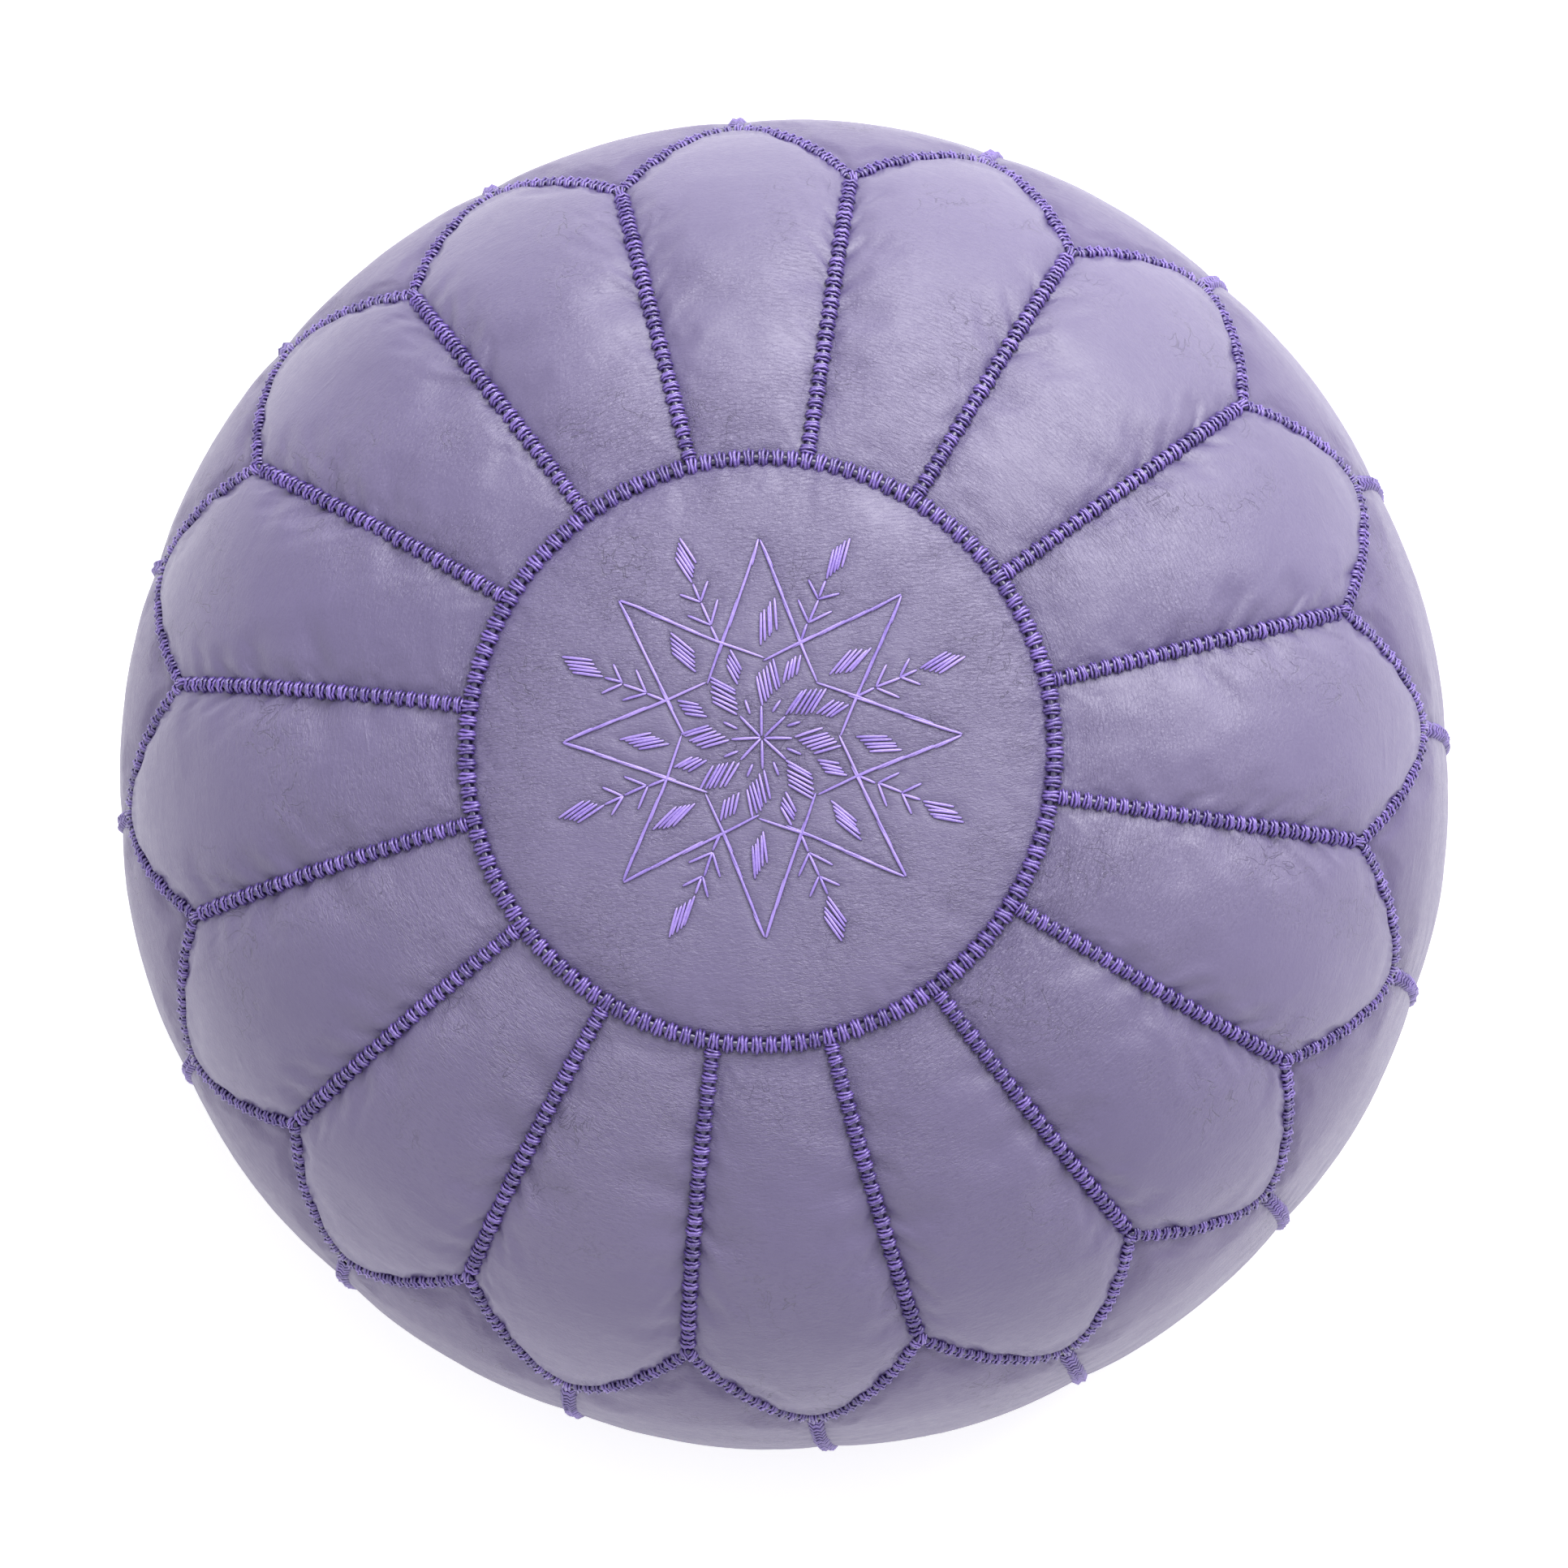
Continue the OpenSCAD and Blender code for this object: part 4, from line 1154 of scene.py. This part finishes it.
# %% [markdown]
# ## The filling
# Inside the leather is a cloth bag with the stuffing. Neither shows, but both are real
# pieces: the bag is a closed, wrinkled sheet of cotton, and the stuffing a lumpy mass of
# fibre that fills it.

# %% A closed round form inside the skin
BAG_BOTTOM_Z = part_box("zip_slider")[1].z + 1.4 * MM


def inner_form(deep, floor_z, lump, wave, seed, rows=90, columns=180, flat_rings=26):
    """Rings of points from pole to pole, deep inside the skin, flat above the zip."""
    foot = float(s_under(FOOT_R0 - 15 * MM))
    s = np.linspace(0, foot, rows + 1)[1:, None]
    angle = (np.arange(columns) * 2 * math.pi / columns)[None, :]
    body = on_skin(s, angle, -deep)
    inner = np.linspace(1, 0, flat_rings)[1:-1, None]
    radius = np.hypot(body[-1, :, 0], body[-1, :, 1])[None, :] * inner
    flat = np.stack([radius * np.cos(angle), radius * np.sin(angle),
                     np.full(radius.shape, floor_z)], axis=-1)
    flat[..., 2] = body[-1, :, 2] + (floor_z - body[-1, :, 2]) * np.minimum(1, (1 - inner) * 4)
    points = np.concatenate([body, flat])
    push = lump * (noise(points / wave, seed) + 0.5 * noise(points / (wave * 0.4), seed + 1))
    middle = np.array([0, 0, BELT_Z])
    way = points - middle
    way /= np.linalg.norm(way, axis=-1, keepdims=True)
    points = points - way * np.abs(push)[..., None]
    z = points[..., 2]                        # nothing hangs into the zip's slider
    above_base = np.hypot(points[..., 0], points[..., 1]) < FOOT_R0 - 14 * MM
    lowest = np.where(z < BELT_Z / 2, floor_z, -1)
    points[..., 2] = np.where(above_base, np.maximum(z, lowest), z)
    count = len(points)
    j = np.arange(columns)
    quads = [np.stack([i * columns + j, (i + 1) * columns + j,
                       (i + 1) * columns + (j + 1) % columns,
                       i * columns + (j + 1) % columns], axis=-1) for i in range(count - 1)]
    faces = [tuple(int(v) for v in q) for block in quads for q in block]
    flat_points = points.reshape(-1, 3)
    top, low = len(flat_points), len(flat_points) + 1
    poles = [[0, 0, points[0, :, 2].mean()], [0, 0, floor_z]]
    flat_points = np.concatenate([flat_points, poles])
    faces += [(top, int(a), int((a + 1) % columns)) for a in j]
    last = (count - 1) * columns
    faces += [(low, int(last + (a + 1) % columns), int(last + a)) for a in j]
    return flat_points, faces


def filling_piece(name, deep, floor_z, lump, wave, seed, finish):
    points, faces = inner_form(deep, floor_z, lump, wave, seed)
    obj = new_object(name, points, faces)
    smooth(obj)
    obj.data.materials.append(finish)
    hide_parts(name)
    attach(obj, "root")
    return obj


# %% Cotton and fibre finishes
def woven_finish(name, light, dark, scale, depth):
    finish, tree, shader = new_finish(name, Roughness=0.85, Sheen_Weight=0.2)
    where = add_node(tree, "ShaderNodeTexCoord").outputs["Object"]
    warp = add_node(tree, "ShaderNodeTexWave", {"Vector": where, "Scale": scale, "Distortion": 0.3},
                    bands_direction="X").outputs["Fac"]
    weft = add_node(tree, "ShaderNodeTexWave", {"Vector": where, "Scale": scale, "Distortion": 0.3},
                    bands_direction="Y").outputs["Fac"]
    weave = math_node(tree, "MULTIPLY", warp, weft)
    slub = noise_node(tree, where, 60.0, 4.0, 0.6)
    colour = mixed(tree, weave, dark, light)
    colour = mixed(tree, ranged(tree, slub, 0.4, 0.7, 0.0, 0.4), colour, light)
    tree.links.new(colour, shader.inputs["Base Color"])
    bumped(tree, shader, [(weave, depth, 0.6), (slub, depth, 0.3)])
    return finish


def fibre_finish():
    finish, tree, shader = new_finish("stuffing_fibre", Roughness=0.9, Sheen_Weight=0.5)
    where = add_node(tree, "ShaderNodeTexCoord").outputs["Object"]
    strands = noise_node(tree, where, 160.0, 6.0, 0.7, 2.0)
    lumps = noise_node(tree, where, 22.0, 3.0, 0.5)
    tree.links.new(mixed(tree, strands, srgb(198, 190, 172), srgb(242, 238, 228)),
                   shader.inputs["Base Color"])
    bumped(tree, shader, [(lumps, 0.004, 0.5), (strands, 0.0015, 0.7)])
    return finish


COTTON = woven_finish("bag_cotton", srgb(216, 209, 190), srgb(178, 170, 150), 180.0, 0.0002)
FIBRE = fibre_finish()
bag = filling_piece("filling_bag", 7.5 * MM, BAG_BOTTOM_Z + 0.3 * MM, 1.2 * MM, 30 * MM, 51,
                    COTTON)
filling_piece("stuffing", 10.5 * MM, BAG_BOTTOM_Z + 1.5 * MM, 2.5 * MM, 45 * MM, 61,
              FIBRE)
print("bag points:", len(bag.data.vertices))

# %% [markdown]
# ## The zip
# The zip's CAD pieces already have their real shape, so they stay and get finishes:
# woven polyester for the tapes, and brushed, slightly worn brass for the metal.

# %% Zip finishes
def brass_finish():
    finish, tree, shader = new_finish("zip_brass", Metallic=1.0)
    where = add_node(tree, "ShaderNodeTexCoord").outputs["Object"]
    wear = noise_node(tree, where, 350.0, 5.0, 0.65)
    brushed = noise_node(tree, add_node(tree, "ShaderNodeMapping", {"Vector": where,
                         "Scale": (0.15, 1.0, 1.0)}).outputs[0], 2600.0, 2.0, 0.5)
    colour = mixed(tree, ranged(tree, wear, 0.35, 0.7), srgb(196, 164, 98), srgb(143, 113, 62))
    tree.links.new(colour, shader.inputs["Base Color"])
    tree.links.new(ranged(tree, wear, 0.3, 0.7, 0.22, 0.45), shader.inputs["Roughness"])
    bumped(tree, shader, [(brushed, 0.00005, 0.4), (wear, 0.0001, 0.3)])
    return finish


BRASS = brass_finish()
TAPE = woven_finish("zip_tape_weave", srgb(92, 80, 118), srgb(52, 44, 72), 420.0, 0.00015)
for name in ("zip_tape_left", "zip_tape_right", "zip_teeth_left", "zip_teeth_right",
             "zip_top_stop", "zip_bottom_stop", "zip_slider", "zip_pull"):
    finish = TAPE if "tape" in name else BRASS
    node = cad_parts[name]
    if not node.material_slots:
        node.data.materials.append(finish)
    for place in node.material_slots:
        place.material = finish
print("zip pieces finished")
bpy.data.objects.remove(knot_pattern, do_unlink=True)

# %% [markdown]
# ## Floor, light and camera
# A pale floor, one large soft light high up on one side, and an almost white room round
# it. The camera looks down, a few degrees off the pouf's axis, through a long lens.

# %% Floor and world
floor = new_object("floor", [(-6, -6, 0), (6, -6, 0), (6, 6, 0), (-6, 6, 0)], [(0, 1, 2, 3)])
pale_floor = new_finish("pale_floor", Base_Color=(0.95, 0.95, 0.95, 1.0), Roughness=0.9,
                        Emission_Color=(1, 1, 1, 1), Emission_Strength=0.42)[0]
floor.data.materials.append(pale_floor)

world = bpy.data.worlds.new("room")
world.use_nodes = True
world.node_tree.nodes["Background"].inputs["Color"].default_value = (1.0, 1.0, 1.0, 1.0)
world.node_tree.nodes["Background"].inputs["Strength"].default_value = 0.9
scene = bpy.context.scene
scene.world = world
scene.view_settings.view_transform = "Standard"


# %% Lights
def soft_light(name, place, target, size, power):
    lamp = bpy.data.lights.new(name, "AREA")
    lamp.shape, lamp.size, lamp.size_y, lamp.energy = "RECTANGLE", size[0], size[1], power
    obj = bpy.data.objects.new(name, lamp)
    obj.location = place
    obj.rotation_euler = (Vector(target) - Vector(place)).to_track_quat("-Z", "Y").to_euler()
    scene.collection.objects.link(obj)
    return obj


soft_light("key_light", (1.1, 1.8, 2.15), (0, 0, 0.2), (3.2, 2.3), 116)

# %% Camera
CAMERA_TILT = math.radians(5.8)
CAMERA_ROLL = math.radians(3.2)
CAMERA_TURN = math.atan2(-0.81, 0.58) - CAMERA_ROLL
CAMERA_FAR = 9.0
VIEW_HALF = 0.308                         # half of what the lens takes in, at the pouf
target = Vector((0, 0, BELT_Z))
toward = Vector((math.sin(CAMERA_TILT) * math.cos(CAMERA_TURN),
                 math.sin(CAMERA_TILT) * math.sin(CAMERA_TURN), math.cos(CAMERA_TILT)))
lens = bpy.data.cameras.new("camera")
lens.sensor_width = 36
lens.lens = lens.sensor_width / 2 / (VIEW_HALF / CAMERA_FAR)
lens.clip_start, lens.clip_end = 0.05, 50
camera = bpy.data.objects.new("camera", lens)
right = Vector((math.sin(CAMERA_ROLL), math.cos(CAMERA_ROLL), 0)).cross(toward).normalized()
up = toward.cross(right).normalized()
turn = Matrix((right, up, toward)).transposed().to_4x4()
camera.matrix_world = Matrix.Translation(target + toward * CAMERA_FAR) @ turn
scene.collection.objects.link(camera)
scene.camera = camera
print("lens, mm:", round(lens.lens, 1))
